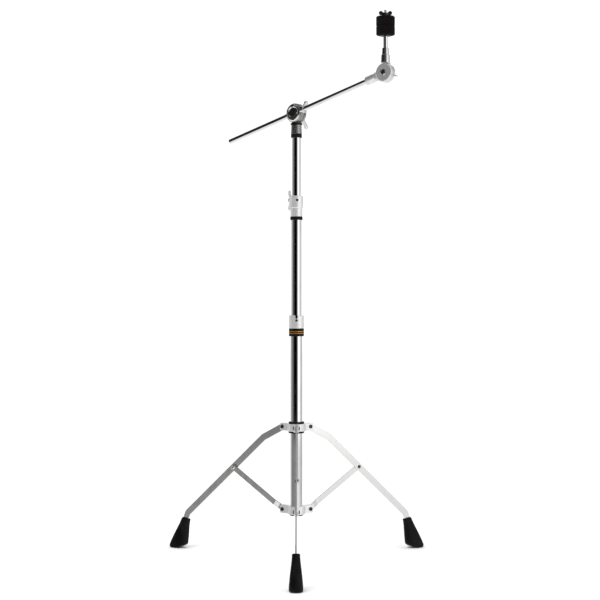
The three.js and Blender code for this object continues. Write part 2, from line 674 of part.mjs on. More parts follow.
// The split sleeve that grips the boom, with a collar where it comes out of the drum.
function makeClampSleeve() {
  const inner = boomRadius + gap;
  const outer = boomSleeveRadius;
  const [from, to] = sleeveCollar;
  const body = alongX(turned([[inner, -drumRadius], [outer, -drumRadius], [outer, from],
    [sleeveCollarRadius, from], [sleeveCollarRadius, to - 1.2], [sleeveCollarRadius - 1.2, to],
    [inner, to], [inner, -drumRadius]]));
  return carved(body, block([-drumRadius - 5, to + 5], [-0.7, 0.7], [0, sleeveCollarRadius + 5]))
    .translate(0, boomOffset, 0);
}

// ---- Cymbal tilter: in the frame of its own axis, which is +Y ----

// The half on the boom's end: a drum half and the ferrule that holds the rod.
function makeBoomEnd() {
  const half = alongY(turned([[0, -gap - tilterHalf], [tilterRadius - 2.5, -gap - tilterHalf],
    [tilterRadius, -gap - tilterHalf + 2.5], [tilterRadius, -gap], [0, -gap]]));
  const back = -ferruleEnd - ferruleLength;
  const ferrule = alongX(turned([[0, back], [ferruleRadius - 1, back], [ferruleRadius, back + 1],
    [ferruleRadius, -ferruleEnd], [0, -ferruleEnd]]));
  const bridge = block([-ferruleEnd - 3, -tilterRadius + 6], [-tilterHalf + 1, -gap], [-7, 7]);
  const socket = alongX(bar(boomRadius + gap, back - 5, -ferruleEnd - 2));
  return carved(joined(half, ferrule, bridge), socket,
    alongY(bar(tilterBoltRadius + gap, -tilterHalf - 5, 5)));
}

// The half under the cymbal rod: a drum half and the stepped post.
function makePostHalf() {
  const low = ferruleEnd;
  const shoulder = low + postHeights[0];
  const top = shoulder + postHeights[1];
  const half = alongY(turned([[0, gap], [tilterRadius, gap], [tilterRadius, gap + tilterHalf - 2.5],
    [tilterRadius - 2.5, gap + tilterHalf], [0, gap + tilterHalf]]));
  const post = turned([[0, low], [postRadii[0], low], [postRadii[0], shoulder - 0.8],
    [postRadii[0] - 0.8, shoulder], [postRadii[1], shoulder], [postRadii[1], top - 0.8],
    [postRadii[1] - 0.8, top], [0, top]]);
  const bridge = block([-7, 7], [gap, tilterHalf - 1], [tilterRadius - 6, low + 3]);
  return carved(joined(half, post, bridge), bar(rodRadius + gap, low + 2, top + 5),
    alongY(bar(tilterBoltRadius + gap, -5, tilterHalf + 5)));
}

function makeTilterBolt() {
  const near = -gap - tilterHalf - gap;
  const stud = gap + tilterHalf + 15;
  return alongY(turned([[0, near - 3.6], [5.4, near - 3.6], [6.6, near - 2.4], [6.6, near],
    [tilterBoltRadius, near], [tilterBoltRadius, stud], [0, stud]]));
}

function makeCymbalRod() {
  const low = ferruleEnd + 2 + gap;
  return turned([[0, low], [rodRadius, low], [rodRadius, rodShoulder], [stemRadius, rodShoulder],
    [stemRadius, stemTop], [0, stemTop]], 16);
}

function makeFeltSleeve() {
  const low = rodShoulder + gap;
  const [flange, thickness] = sleeveFlange;
  const inner = stemRadius + gap;
  return turned([[inner, low], [flange, low], [flange, low + thickness], [sleeveOuter, low + thickness],
    [sleeveOuter, feltTop - 2], [inner, feltTop - 2], [inner, low]], 16);
}

function makeFelt(low, height) {
  return ring(sleeveOuter + gap, feltRadius, low, low + height, 2);
}

function makeHolder(parent) {
  piece(parent, 'post_half', 'cast', makePostHalf());
  piece(parent, 'tilter_bolt', 'steel', makeTilterBolt());
  const endSeat = 2 * gap + tilterHalf;
  piece(parent, 'end_wing_nut', 'cast', wingNut([endSeat, endSeat + 6.4], 7, tilterBoltRadius + gap, endWings)
    .rotateY(20 * turn));
  piece(parent, 'cymbal_rod', 'chrome', makeCymbalRod());
  piece(parent, 'felt_sleeve', 'nylon', makeFeltSleeve());
  piece(parent, 'lower_felt', 'felt', makeFelt(feltLow, lowerFeltHeight));
  piece(parent, 'upper_felt', 'felt', makeFelt(feltLow + lowerFeltHeight + gap, upperFeltHeight));
  const washerLow = feltTop + gap;
  const [washerRadius, washerHeight] = topWasher;
  piece(parent, 'top_washer', 'steel', ring(stemRadius + gap, washerRadius, washerLow,
    washerLow + washerHeight, 0, 16));
  const nutLow = washerLow + washerHeight + gap;
  const nut = wingNut([0, 5.5], 5.6, stemRadius + gap, topWings).rotateX(Math.PI / 2)
    .translate(0, 0, nutLow).rotateZ(-boomYaw * turn);
  piece(parent, 'top_wing_nut', 'steel', nut);
}

function makeHead(parent) {
  const head = group(parent, { position: [0, 0, drumHeight], aboutZ: boomYaw });
  piece(head, 'tilter_base', 'cast', makeTilterBase());
  piece(head, 'friction_washer', 'nylon', makeFrictionWasher());
  const boom = group(head, { aboutY: -boomTilt });
  piece(boom, 'tilter_rotor', 'cast', makeRotor());
  piece(boom, 'eye_bolt', 'steel', makeEyeBolt());
  piece(boom, 'clamp_sleeve', 'cast', makeClampSleeve());
  const seat = fixedFace + fixedThickness + gap;
  piece(boom, 'boom_wing_nut', 'cast', wingNut([seat, seat + 9], 8, boltRadius + gap, boomWings)
    .rotateY((90 + boomTilt) * turn));
  const rodTip = boomReach - ferruleEnd - 2 - gap;
  piece(boom, 'boom_rod', 'chrome', alongX(bar(boomRadius, -boomBack, rodTip, 0.5, 16))
    .translate(0, boomOffset, 0));
  const end = group(boom, { position: [boomReach, boomOffset, 0] });
  piece(end, 'boom_end', 'cast', makeBoomEnd());
  makeHolder(group(end, { aboutY: boomTilt }));
}

// ---- The whole stand, moved so that its outer box is centred over the origin ----

const stand = new THREE.Group();
makeTripod(stand);
makeColumn(stand);
makeHead(stand);
stand.updateMatrixWorld(true);
const outerBox = new THREE.Box3().setFromObject(stand, true);
stand.position.set(-(outerBox.min.x + outerBox.max.x) / 2, -(outerBox.min.y + outerBox.max.y) / 2, 0);

export default stand;
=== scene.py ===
"""The looks of a cymbal boom stand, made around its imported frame.

Shapes are worked out in millimetres in local frames, and placed in metres, +Z up.
Every piece takes its place from the frame's boxes, joints and mounts. Sizes come from there too
where they can be read off, and the others are the values named here.
"""

import json

import bpy
import numpy as np
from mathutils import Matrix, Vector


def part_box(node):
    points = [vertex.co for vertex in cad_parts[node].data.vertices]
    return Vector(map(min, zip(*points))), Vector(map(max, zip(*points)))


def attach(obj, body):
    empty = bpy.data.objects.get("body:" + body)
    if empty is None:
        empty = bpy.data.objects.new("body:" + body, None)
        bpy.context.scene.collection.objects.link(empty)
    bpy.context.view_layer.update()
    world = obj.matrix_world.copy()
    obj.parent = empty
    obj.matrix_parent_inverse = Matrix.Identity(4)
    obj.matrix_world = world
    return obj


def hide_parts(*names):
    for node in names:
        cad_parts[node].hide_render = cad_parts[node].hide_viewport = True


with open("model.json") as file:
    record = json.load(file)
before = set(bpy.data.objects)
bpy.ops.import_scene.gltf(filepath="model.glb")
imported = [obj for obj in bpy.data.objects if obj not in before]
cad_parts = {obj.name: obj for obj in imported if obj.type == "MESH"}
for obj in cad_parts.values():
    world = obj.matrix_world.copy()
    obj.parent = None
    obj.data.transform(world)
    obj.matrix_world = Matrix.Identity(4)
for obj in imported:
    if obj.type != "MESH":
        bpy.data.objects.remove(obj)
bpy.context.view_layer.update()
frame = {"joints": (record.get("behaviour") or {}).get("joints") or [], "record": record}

MM = 0.001
JOINTS = {joint["name"]: joint for joint in frame["joints"]}
MOUNTS = {mount["name"]: mount for mount in frame["record"]["mounts"]}
BODY_OF = {node: body for body, nodes in frame["record"]["behaviour"]["bodies"].items() for node in nodes}
SIDES = ("front", "right", "left")

# Fits and edges, in millimetres
GAP = 0.3
EDGE = 0.5
CELL = 0.5          # step of the lattice that castings are drawn on
DRAFT = 0.055       # lean of a tapered casting's wall, for each millimetre of height
SOLID = -30.0       # added to a bore's radius, it leaves no hole

# Tripod
LEG_WIDTH = 14.5
LEG_THICKNESS = 3.0
KNEE_SLOPE = 27.4   # degrees, above the knee
LEG_SLOPE = 42.0    # degrees, below it
FOOT_LEAN = 19.0    # degrees
FOOT_HEIGHT = 69.4  # to the middle of its top
FOOT_GRIP = 24.0
FOOT_TOP_DROP = 1.5 # the boot's lip below that
FOOT_SOLE = (21.5, 14.0)
FOOT_NECK = (11.0, 8.2)
STAY_WIDTH = 12.0
STAY_THICKNESS = 3.0
STAY_STEP = (12.0, 24.0)
EAR_INSIDE = LEG_THICKNESS / 2 + GAP
EAR_THICKNESS = 3.5
EAR_REACH = 6.0
PIN_RADIUS = 2.9
PIN_HEAD = (4.35, 2.0)

# Clamps
BOLT_RADIUS = 4.0
BOSS_RADIUS = 7.0
BOSS_REACH = 9.0

# Wings: reach, the round end's radius and lift above the hub's seat, the root's lift, and thickness
BOLT_WINGS = (22.0, 5.0, 8.5, (1.0, 7.5), 4.0)
BOOM_WINGS = (31.0, 5.0, 23.6, (1.6, 9.6), 5.0)
END_WINGS = (18.0, 4.1, 8.7, (2.7, 7.9), 3.4)
TOP_WINGS = (13.6, 4.4, 5.4, (1.0, 5.0), 3.0)

# Camera, in metres from the column's axis
CAMERA_ASIDE = 0.0077
CAMERA_BACK = 2.905
CAMERA_HEIGHT = 0.5594
CAMERA_LENS = 81.05


# ---- Frames ----

def span(node):
    """A node's lowest and highest corners, in millimetres."""
    low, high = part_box(node)
    return np.array(low) / MM, np.array(high) / MM


def pivot(joint):
    return np.array(JOINTS[joint]["pos_m"]) / MM


def direction(joint):
    axis = np.array(JOINTS[joint]["axis"], float)
    return axis / np.linalg.norm(axis)


class Place:
    """A local frame: an origin in millimetres, and unit axes x, y and z as rows."""

    def __init__(self, origin, x=(1, 0, 0), y=(0, 1, 0), z=(0, 0, 1)):
        self.origin = np.array(origin, float)
        self.axes = np.array([x, y, z], float)

    def out(self, points):
        return self.origin + points @ self.axes

    def local(self, point):
        return self.axes @ (np.array(point, float) - self.origin)

    def moved(self, x=0.0, y=0.0, z=0.0):
        return Place(self.out(np.array([x, y, z])), *self.axes)

    def spun(self, degrees, about="z"):
        """The same frame turned about one of its own axes."""
        first, second = {"x": (1, 2), "y": (2, 0), "z": (0, 1)}[about]
        cosine, sine = np.cos(np.radians(degrees)), np.sin(np.radians(degrees))
        axes = self.axes.copy()
        axes[first] = cosine * self.axes[first] + sine * self.axes[second]
        axes[second] = cosine * self.axes[second] - sine * self.axes[first]
        return Place(self.origin, *axes)

    def upended(self):
        """The frame whose z axis is this one's y axis, for shapes made about z."""
        x, y, z = self.axes
        return Place(self.origin, z, x, y)

    def sideways(self):
        """The frame whose z axis is this one's x axis."""
        x, y, z = self.axes
        return Place(self.origin, y, z, x)


tube_low, tube_high = span("base_tube")
AXIS = np.array([(tube_low[0] + tube_high[0]) / 2, (tube_low[1] + tube_high[1]) / 2, 0])
COLUMN = Place(AXIS)


def outward(joint):
    """The unit vector from the column to a hinge, level."""
    flat = (pivot(joint) - AXIS) * (1, 1, 0)
    return flat / np.linalg.norm(flat)


def radial(side):
    """The frame of one leg: x outward, y across, z up, on the column's axis."""
    x = outward(f"leg_{side}_hinge")
    return Place(AXIS, x, np.cross((0, 0, 1), x))


FAR = -direction("boom_tilt")
HEADING = np.cross(FAR, (0, 0, 1))
HEAD = Place(pivot("boom_tilt"), HEADING, FAR)
BOOM_LINE = direction("boom_slide")
BOOM = Place(pivot("boom_tilt"), BOOM_LINE, FAR, np.cross(BOOM_LINE, FAR))
HOLDER = Place(pivot("cymbal_tilt"), HEADING, FAR)
END = Place(pivot("cymbal_tilt"), *BOOM.axes)
BOOM_OFFSET = BOOM.local(pivot("boom_roll"))[1]


# ---- Surfaces ----

class Shell:
    """A closed surface: points, and faces of four corners or of three."""

    def __init__(self, points, quads, triangles=None, normals=None):
        self.points = points
        self.quads = quads
        self.triangles = np.zeros((0, 3), int) if triangles is None else triangles
        self.normals = normals

    def outward(self):
        """Turns the faces round if the volume that they enclose comes out negative."""
        p = self.points - self.points.mean(0)
        corners = np.concatenate([self.quads[:, [0, 1, 2]], self.quads[:, [0, 2, 3]], self.triangles])
        a, b, c = (p[corners[:, i]] for i in range(3))
        if np.einsum("ij,ij->", a, np.cross(b, c)) < 0:
            self.quads = self.quads[:, ::-1]
            self.triangles = self.triangles[:, ::-1]
        return self

    def put(self, place):
        normals = None if self.normals is None else self.normals @ place.axes
        return Shell(place.out(self.points), self.quads, self.triangles, normals).outward()


def woven(rows, closed=False):
    """Joins a grid of points, rows by columns, around its columns. Rows join last to first if
    closed, or else each end row is capped by a fan about its own centre."""
    count, sides = rows.shape[:2]
    column = np.arange(sides)
    following = (column + 1) % sides
    first = np.arange(count if closed else count - 1)[:, None]
    second = (first + 1) % count
    quads = np.stack([first * sides + column, first * sides + following,
                      second * sides + following, second * sides + column], -1).reshape(-1, 4)
    points = rows.reshape(-1, 3)
    if closed:
        return Shell(points, quads)
    caps = np.stack([rows[0].mean(0), rows[-1].mean(0)])
    low, high = len(points), len(points) + 1
    last = (count - 1) * sides
    fans = np.concatenate([
        np.stack([np.full(sides, low), following, column], -1),
        np.stack([np.full(sides, high), last + column, last + following], -1)])
    return Shell(np.concatenate([points, caps]), quads, fans)


def rounded(outline, edge=EDGE, steps=4, closed=False):
    """An outline with each corner made an arc. The arc touches both sides at the same distance
    from the corner, its radius over the tangent of half the angle, and a point held on each
    straight beside it keeps the flats flat. A corner may give its own radius."""
    corners = np.array([point[:2] for point in outline], float)
    radii = [point[2] if len(point) > 2 else edge for point in outline]
    count = len(corners)
    made = []
    for i, corner in enumerate(corners):
        if not closed and i in (0, count - 1):
            made.append(corner[None])
            continue
        before, after = corners[i - 1] - corner, corners[(i + 1) % count] - corner
        reach = min(np.linalg.norm(before), np.linalg.norm(after)) * 0.42
        u, v = before / np.linalg.norm(before), after / np.linalg.norm(after)
        half = np.arccos(np.clip(u @ v, -1, 1)) / 2
        cut = min(radii[i] / np.tan(half), reach)
        radius = cut * np.tan(half)
        turn = np.pi - 2 * half
        if turn < 0.02 or radius < 0.01:
            made.append(corner[None])
            continue
        centre = corner + (u + v) / np.linalg.norm(u + v) * radius / np.sin(half)
        k = np.linspace(0, 1, steps + 1)[:, None]
        a, b = corner + u * cut - centre, corner + v * cut - centre
        arc = centre + (np.sin((1 - k) * turn) * a + np.sin(k * turn) * b) / np.sin(turn)
        hold = min(0.3 * cut, reach - cut + 0.05)
        made.append(np.concatenate([arc[:1] + u * hold, arc, arc[-1:] + v * hold]))
    return np.concatenate(made)


def turned(outline, sides=96, edge=EDGE, closed=False, steps=4):
    """An outline of (radius, height) turned about z: x and y are the radius times the cosine
    and sine of the angle. It starts and ends on the axis, or closes on itself."""
    profile = rounded(outline, edge, steps, closed)
    if not closed:
        profile = profile[profile[:, 0] > 1e-6]
    angle = np.linspace(0, 2 * np.pi, sides, endpoint=False)
    radius, height = profile[:, :1], profile[:, 1:]
    rows = np.stack([radius * np.cos(angle), radius * np.sin(angle), height + 0 * angle], -1)
    return woven(rows, closed)


def hollow(inner, outer, low, high, edge=EDGE, sides=96):
    """A ring between two radii and two heights."""
    return turned([(inner, low, 0.25), (outer, low), (outer, high), (inner, high, 0.25)], sides, edge, True)


def threaded(radius, low, high, pitch, sides=40, tip=0.8):
    """A screw thread about z: the radius loses a depth that follows half of one minus the cosine
    of the height over the pitch less the turn, and fades out at each end."""
    depth = 0.6 * pitch
    rows = int((high - low) / pitch * 9)
    height = np.linspace(low, high, rows)[:, None]
    angle = np.linspace(0, 2 * np.pi, sides, endpoint=False)
    phase = 2 * np.pi * height / pitch - angle
    taper = np.clip(np.minimum(height - low, high - height) / tip, 0, 1)
    groove = depth * (0.5 - 0.5 * np.cos(phase)) ** 0.8
    reach = radius - groove - (1 - taper) * depth
    return woven(np.stack([reach * np.cos(angle), reach * np.sin(angle), height + 0 * angle], -1))


def barred(centres, across, through, half_width, half_depth, corner=0.7, steps=4):
    """A bar of rounded rectangular section along a path. Each station's section has its corners
    at the half sizes less the corner's radius, with a quarter circle round each."""
    narrow = np.minimum(half_width, half_depth)
    edge = np.minimum(corner, narrow * 0.95)[:, None]
    quarter = np.linspace(0, np.pi / 2, steps + 1)
    sections = []
    for turn, (sx, sy) in enumerate(((1, 1), (-1, 1), (-1, -1), (1, -1))):
        angle = quarter + turn * np.pi / 2
        angle = np.concatenate([angle[:1], angle, angle[-1:]])
        slip = np.zeros(len(angle))
        slip[[0, -1]] = (-0.35, 0.35)
        x = sx * (half_width[:, None] - edge) + edge * (np.cos(angle) - slip * np.sin(angle))
        y = sy * (half_depth[:, None] - edge) + edge * (np.sin(angle) + slip * np.cos(angle))
        sections.append(np.stack([x, y], -1))
    section = np.concatenate(sections, 1)
    rows = (centres[:, None] + section[..., :1] * across[:, None] + section[..., 1:] * through[:, None])
    return woven(rows)


def walked(path):
    """How far along a path each of its points is."""
    return np.concatenate([[0], np.cumsum(np.linalg.norm(np.diff(path, axis=0), axis=1))])


def picked(path, places):
    """The points at the given distances along a path."""
    at = walked(path)
    return np.stack([np.interp(places, at, path[:, i]) for i in range(path.shape[1])], -1)


def course_of(line, places):
    """The unit direction of a line at each of its points."""
    course = np.gradient(line, places, axis=0)
    return course / np.linalg.norm(course, axis=1)[:, None]


def along(path, spacing=2.5):
    """A path's points with more between them wherever two are further apart than the spacing."""
    at = walked(path)
    step = np.linalg.norm(np.diff(path, axis=0), axis=1)
    places = np.concatenate([np.linspace(at[i], at[i + 1], max(int(gap / spacing), 1), endpoint=False)
                             for i, gap in enumerate(step)] + [at[-1:]])
    return picked(path, places)


def round_ends(places, radius, both=True):
    """Places along a bar, and its half width there, with round ends: near an end the half
    width is the sine of an angle, and the place one minus its cosine, times the radius."""
    angle = np.radians(np.linspace(7, 90, 13))
    tip = radius * (1 - np.cos(angle))
    first, last = places[0], places[-1]
    middle = places[(places > first + radius) & (places < last - (radius if both else 0))]
    places = np.concatenate([first + tip, middle, last - tip[::-1] if both else [last]])
    far_end = radius * np.sin(angle[::-1]) if both else [radius]
    width = np.concatenate([radius * np.sin(angle), np.full(len(middle), radius), far_end])
    return places, width


# ---- Castings: the zero level of a distance field ----

def prism(outline, height, low, high, edge=EDGE):
    """The distance to an outline made solid between two heights, its edges rounded: both
    distances are grown by the edge, joined as a corner is, and shrunk by it again."""
    a = outline + edge
    b = np.abs(height - (low + high) / 2) - (high - low) / 2 + edge
    return np.minimum(np.maximum(a, b), 0) + np.hypot(np.maximum(a, 0), np.maximum(b, 0)) - edge


def plate(x, y, low, high, corner):
    """The distance in a plane to a rectangle with round corners."""
    a = np.abs(x - (low[0] + high[0]) / 2) - (high[0] - low[0]) / 2 + corner
    b = np.abs(y - (low[1] + high[1]) / 2) - (high[1] - low[1]) / 2 + corner
    return np.minimum(np.maximum(a, b), 0) + np.hypot(np.maximum(a, 0), np.maximum(b, 0)) - corner


def meet(a, b, blend):
    """Two fields joined, with a fillet: the lower one, less a quarter of the blend where they
    are equal."""
    near = np.maximum(blend - np.abs(a - b), 0) / blend
    return np.minimum(a, b) - near * near * blend / 4


def cut(a, b, blend=0.4):
    """A field with another taken out of it, the edge eased."""
    return -meet(-a, b, blend)


def cast(field, low, high, cell=CELL):
    """Draws a field's zero surface. Each lattice cell that it crosses gets a point at the mean of
    the crossings on its edges, each lattice edge that it crosses gets a face of the four cells
    around it, and the points then step along the field's slope onto the surface."""
    low, high = np.array(low, float) - 2 * cell, np.array(high, float) + 2 * cell
    axes = [np.arange(low[i], high[i] + cell, cell) for i in range(3)]
    value = field(*np.meshgrid(*axes, indexing="ij"))
    inside = value < 0
    shape = np.array(value.shape) - 1
    total = np.zeros((*shape, 3))
    hits = np.zeros(shape)
    faces = []
    crossings = []
    for axis in range(3):
        ahead = [slice(None)] * 3
        behind = [slice(None)] * 3
        ahead[axis], behind[axis] = slice(1, None), slice(None, -1)
        a, b = value[tuple(behind)], value[tuple(ahead)]
        crossed = (a < 0) != (b < 0)
        share = np.where(crossed, a / np.where(crossed, a - b, 1), 0)
        others = [i for i in range(3) if i != axis]
        for step_one in (0, 1):
            for step_two in (0, 1):
                pick = [slice(None)] * 3
                pick[others[0]] = slice(step_one, step_one + shape[others[0]])
                pick[others[1]] = slice(step_two, step_two + shape[others[1]])
                mark = crossed[tuple(pick)]
                hits += mark
                total[..., axis] += np.where(mark, share[tuple(pick)], 0)
                total[..., others[0]] += mark * step_one
                total[..., others[1]] += mark * step_two
        crossings.append((axis, others, crossed, inside[tuple(behind)]))
    live = hits > 0
    number = np.full(shape, -1)
    number[live] = np.arange(live.sum())
    where = np.stack(np.nonzero(live), -1)
    points = low + (where + total[live] / hits[live][:, None]) * cell
    for axis, others, crossed, start in crossings:
        inner = [slice(None)] * 3
        inner[others[0]] = inner[others[1]] = slice(1, -1)
        at = np.nonzero(crossed[tuple(inner)])
        ahead = start[tuple(inner)][at]
        at = np.stack(at, -1)
        at[:, others] += 1
        around = []
        for step_one, step_two in ((0, 0), (1, 0), (1, 1), (0, 1)):
            cell_at = at.copy()
            cell_at[:, others[0]] -= step_one
            cell_at[:, others[1]] -= step_two
            around.append(number[tuple(cell_at.T)])
        quad = np.stack(around, -1)
        forward = ahead if axis != 1 else ~ahead
        faces.append(np.where(forward[:, None], quad, quad[:, ::-1]))
    quads = np.concatenate(faces)

    def slope(p):
        nudge = 0.02
        return np.stack([(field(*(p + d).T) - field(*(p - d).T)) / (2 * nudge)
                         for d in np.eye(3) * nudge], -1)

    for _ in range(4):
        tilt = slope(points)
        step = field(*points.T) / np.maximum((tilt ** 2).sum(1), 0.2)
        points = points - np.clip(step, -cell, cell)[:, None] * tilt
    tilt = slope(points)
    normals = tilt / np.maximum(np.linalg.norm(tilt, axis=1), 1e-6)[:, None]
    return Shell(points, quads, None, normals)


# ---- Finishes ----

class Signal:
    """A number flowing between shader nodes; arithmetic on it adds Math nodes."""

    def __init__(self, finish, socket):
        self.finish = finish
        self.socket = socket

    def math(self, operation, *values):
        made = self.finish.node("ShaderNodeMath", {"operation": operation}, dict(enumerate(values)))
        return Signal(self.finish, made.outputs[0])

    def __add__(self, other):
        return self.math("ADD", self, other)

    __radd__ = __add__

    def __sub__(self, other):
        return self.math("SUBTRACT", self, other)

    def __rsub__(self, other):
        return self.math("SUBTRACT", other, self)

    def __mul__(self, other):
        return self.math("MULTIPLY", self, other)

    __rmul__ = __mul__

    def __truediv__(self, other):
        return self.math("DIVIDE", self, other)

    def __pow__(self, other):
        return self.math("POWER", self, other)

    def above(self, edge, softness):
        """0 below the edge and 1 above it, smooth over the softness."""
        values = {"Value": self, "From Min": edge - softness, "From Max": edge + softness}
        return self.finish.read("ShaderNodeMapRange", {"interpolation_type": "SMOOTHSTEP"}, values)


class Finish:
    """A node tree with one surface shader, and short ways to add nodes to it."""

    def __init__(self, owner):
        owner.use_nodes = True
        self.owner = owner
        self.tree = owner.node_tree
        self.tree.nodes.clear()

    def node(self, kind, settings=None, values=None):
        made = self.tree.nodes.new(kind)
        for name, value in (settings or {}).items():
            if name == "stops":
                self.set_stops(made.color_ramp, value)
            else:
                setattr(made, name, value)
        for name, value in (values or {}).items():
            socket = made.inputs[name]
            if isinstance(value, Signal):
                value = value.socket
            if isinstance(value, bpy.types.NodeSocket):
                self.tree.links.new(value, socket)
            else:
                socket.default_value = value
        return made

    @staticmethod
    def set_stops(ramp, stops):
        while len(ramp.elements) < len(stops):
            ramp.elements.new(0.5)
        for element, (place, colour) in zip(ramp.elements, stops, strict=True):
            element.position = place
            element.color = (*colour, 1) if len(colour) == 3 else colour

    def read(self, kind, settings=None, values=None, output=0):
        return Signal(self, self.node(kind, settings, values).outputs[output])

    def where(self, stretch=(1, 1, 1)):
        """Object coordinates, stretched."""
        here = self.node("ShaderNodeTexCoord").outputs["Object"]
        return self.node("ShaderNodeMapping", None, {"Vector": here, "Scale": stretch}).outputs[0]

    def noise(self, scale, detail=3.0, roughness=0.5, stretch=(1, 1, 1)):
        values = {"Vector": self.where(stretch), "Scale": scale, "Detail": detail, "Roughness": roughness}
        return self.read("ShaderNodeTexNoise", None, values)

    def blended(self, share, first, second):
        """A colour between two colours."""
        values = {0: share, 6: first, 7: second}
        return self.node("ShaderNodeMix", {"data_type": "RGBA"}, values).outputs[2]

    def relief(self, height, distance, strength=1.0):
        return self.node("ShaderNodeBump", None, {"Height": height, "Distance": distance,
                                                  "Strength": strength}).outputs[0]

    def surface(self, values):
        shader = self.node("ShaderNodeBsdfPrincipled", None, values)
        self.node("ShaderNodeOutputMaterial", None, {"Surface": shader.outputs[0]})
        return self.owner


def grey(value, warmth=0.0):
    return (value * (1 + warmth), value, value * (1 - warmth), 1)


def finish(name):
    return Finish(bpy.data.materials.new(name))


def chrome_tube():
    """Bright chrome on drawn tube: faint smudges, and fine rings left by drawing."""
    made = finish("chrome_tube")
    smudge = made.noise(26, 5, 0.6)
    speck = made.noise(420, 2)
    handled = smudge.above(0.56, 0.14)
    return made.surface({
        "Base Color": made.blended(handled, grey(0.86, -0.006), grey(0.79, 0.004)),
        "Metallic": 1.0,
        "Roughness": 0.035 + handled * 0.05 + speck * 0.015,
        "Normal": made.relief(made.noise(160, 2, 0.5, (1, 1, 0.08)), 0.00002, 0.5),
    })


def plated_bar():
    """Bright plating on flat bar: the stamped surface ripples a little and has fine scuffs."""
    made = finish("plated_bar")
    scuff = made.noise(90, 6, 0.65, (1, 1, 0.35))
    worn = scuff.above(0.58, 0.1)
    ripple = made.noise(38, 2)
    return made.surface({
        "Base Color": made.blended(worn, grey(0.84, 0.008), grey(0.79, 0.012)),
        "Metallic": 1.0,
        "Roughness": 0.13 + worn * 0.06,
        "Normal": made.relief(ripple + scuff * 0.06, 0.00014, 0.5),
    })


def cast_metal():
    """Satin plating over a die casting: a fine grain, duller in patches."""
    made = finish("cast_metal")
    cloud = made.noise(60, 4, 0.6)
    grain = made.noise(1500, 3, 0.6)
    return made.surface({
        "Base Color": made.blended(cloud.above(0.5, 0.25), grey(0.90), grey(0.83, 0.006)),
        "Metallic": 0.7,
        "Roughness": 0.32 + cloud * 0.10 + grain * 0.05,
        "Normal": made.relief(grain + cloud * 0.6, 0.00005, 0.6),
    })


def bright_cast():
    """The same plating, buffed: wing nuts that fingers keep bright."""
    made = finish("bright_cast")
    cloud = made.noise(90, 4, 0.6)
    return made.surface({
        "Base Color": made.blended(cloud.above(0.5, 0.2), grey(0.86), grey(0.76)),
        "Metallic": 1.0,
        "Roughness": 0.12 + cloud * 0.12,
        "Normal": made.relief(cloud, 0.0001, 0.6),
    })


def satin_painted_light_cast():
    """Satin plating over a brushed casting, even, and light all over: the satin is the finish, and the pale
    greys are painted light, a lit copy of the polished plating for the boom's end.
    """
    made = finish("satin_painted_light_cast")
    cloud = made.noise(80, 4, 0.6)
    brushed = made.noise(700, 2, 0.5, (1, 1, 0.15))
    return made.surface({
        # The pale greys are painted light: a lighter copy of the casting's plating.
        "Base Color": made.blended(cloud.above(0.52, 0.2), grey(0.86), grey(0.70, 0.01)),
        "Metallic": 0.8,
        "Roughness": 0.2 + cloud * 0.16,
        "Normal": made.relief(brushed + cloud, 0.00005, 0.6),
    })


def pitted_painted_shade_cast():
    """Plating over a pitted, uneven casting, dark all over: the pits and unevenness are the surface, and the
    darkness is painted shade, a shaded copy of the polished plating.
    """
    made = finish("pitted_painted_shade_cast")
    pit = made.noise(360, 5, 0.7)
    cloud = made.noise(110, 3, 0.6)
    return made.surface({
        # The dark greys are painted shade, with the pits darker still.
        "Base Color": made.blended(pit.above(0.5, 0.16), grey(0.20, 0.02), grey(0.50, 0.02)),
        "Metallic": 1.0,
        "Roughness": 0.24 + cloud * 0.22,
        "Normal": made.relief(pit + cloud * 2.0, 0.0004, 0.8),
    })


def polished_cast():
    """Chrome over a die casting: bright, with the soft unevenness of a polished casting."""
    made = finish("polished_cast")
    cloud = made.noise(70, 4, 0.6)
    peel = made.noise(320, 2)
    return made.surface({
        "Base Color": made.blended(cloud.above(0.52, 0.2), grey(0.85), grey(0.76)),
        "Metallic": 1.0,
        "Roughness": 0.07 + cloud * 0.09,
        "Normal": made.relief(peel + cloud * 1.5, 0.00006, 0.6),
    })


def black_nylon(name="black_nylon"):
    """Moulded black nylon, slightly mottled."""
    made = finish(name)
    cloud = made.noise(130, 4, 0.6)
    grain = made.noise(1400, 2)
    return made.surface({
        "Base Color": made.blended(cloud, grey(0.003), grey(0.009)),
        "Roughness": 0.3 + cloud * 0.16,
        "Specular IOR Level": 0.12,
        "Normal": made.relief(grain, 0.00005, 0.5),
    })


def striped_nylon(low, high):
    """The lower band: black nylon with two thin plain gilt stripes."""
    made = finish("black_nylon_striped")
    spot = made.node("ShaderNodeSeparateXYZ", None,
                     {"Vector": made.node("ShaderNodeTexCoord").outputs["Object"]})
    level = (Signal(made, spot.outputs["Z"]) - low) / (high - low)
    stripes = 0.0
    for middle in (0.38, 0.62):
        offset = level - middle
        stripes = (1 - offset.math("ABSOLUTE", offset).above(0.05, 0.01)) + stripes
    cloud = made.noise(130, 4, 0.6)
    rub = made.noise(700, 3, 0.7).above(0.40, 0.12)
    gilt = stripes * rub
    return made.surface({
        "Base Color": made.blended(gilt, grey(0.005), (0.62, 0.27, 0.05, 1)),
        "Metallic": gilt * 0.8,
        "Specular IOR Level": 0.12,
        "Roughness": 0.32 + cloud * 0.14,
        "Normal": made.relief(made.noise(1400, 2) + gilt * 0.6, 0.00005, 0.5),
    })


def dark_steel():
    """Blackened steel screws and rivets, rubbed brighter in spots."""
    made = finish("dark_steel")
    rub = made.noise(520, 4, 0.65)
    bright = rub.above(0.55, 0.12)
    return made.surface({
        "Base Color": made.blended(bright, grey(0.05), grey(0.16, 0.01)),
        "Metallic": 1.0,
        "Roughness": 0.26 + rub * 0.16,
        "Normal": made.relief(rub, 0.00004, 0.6),
    })


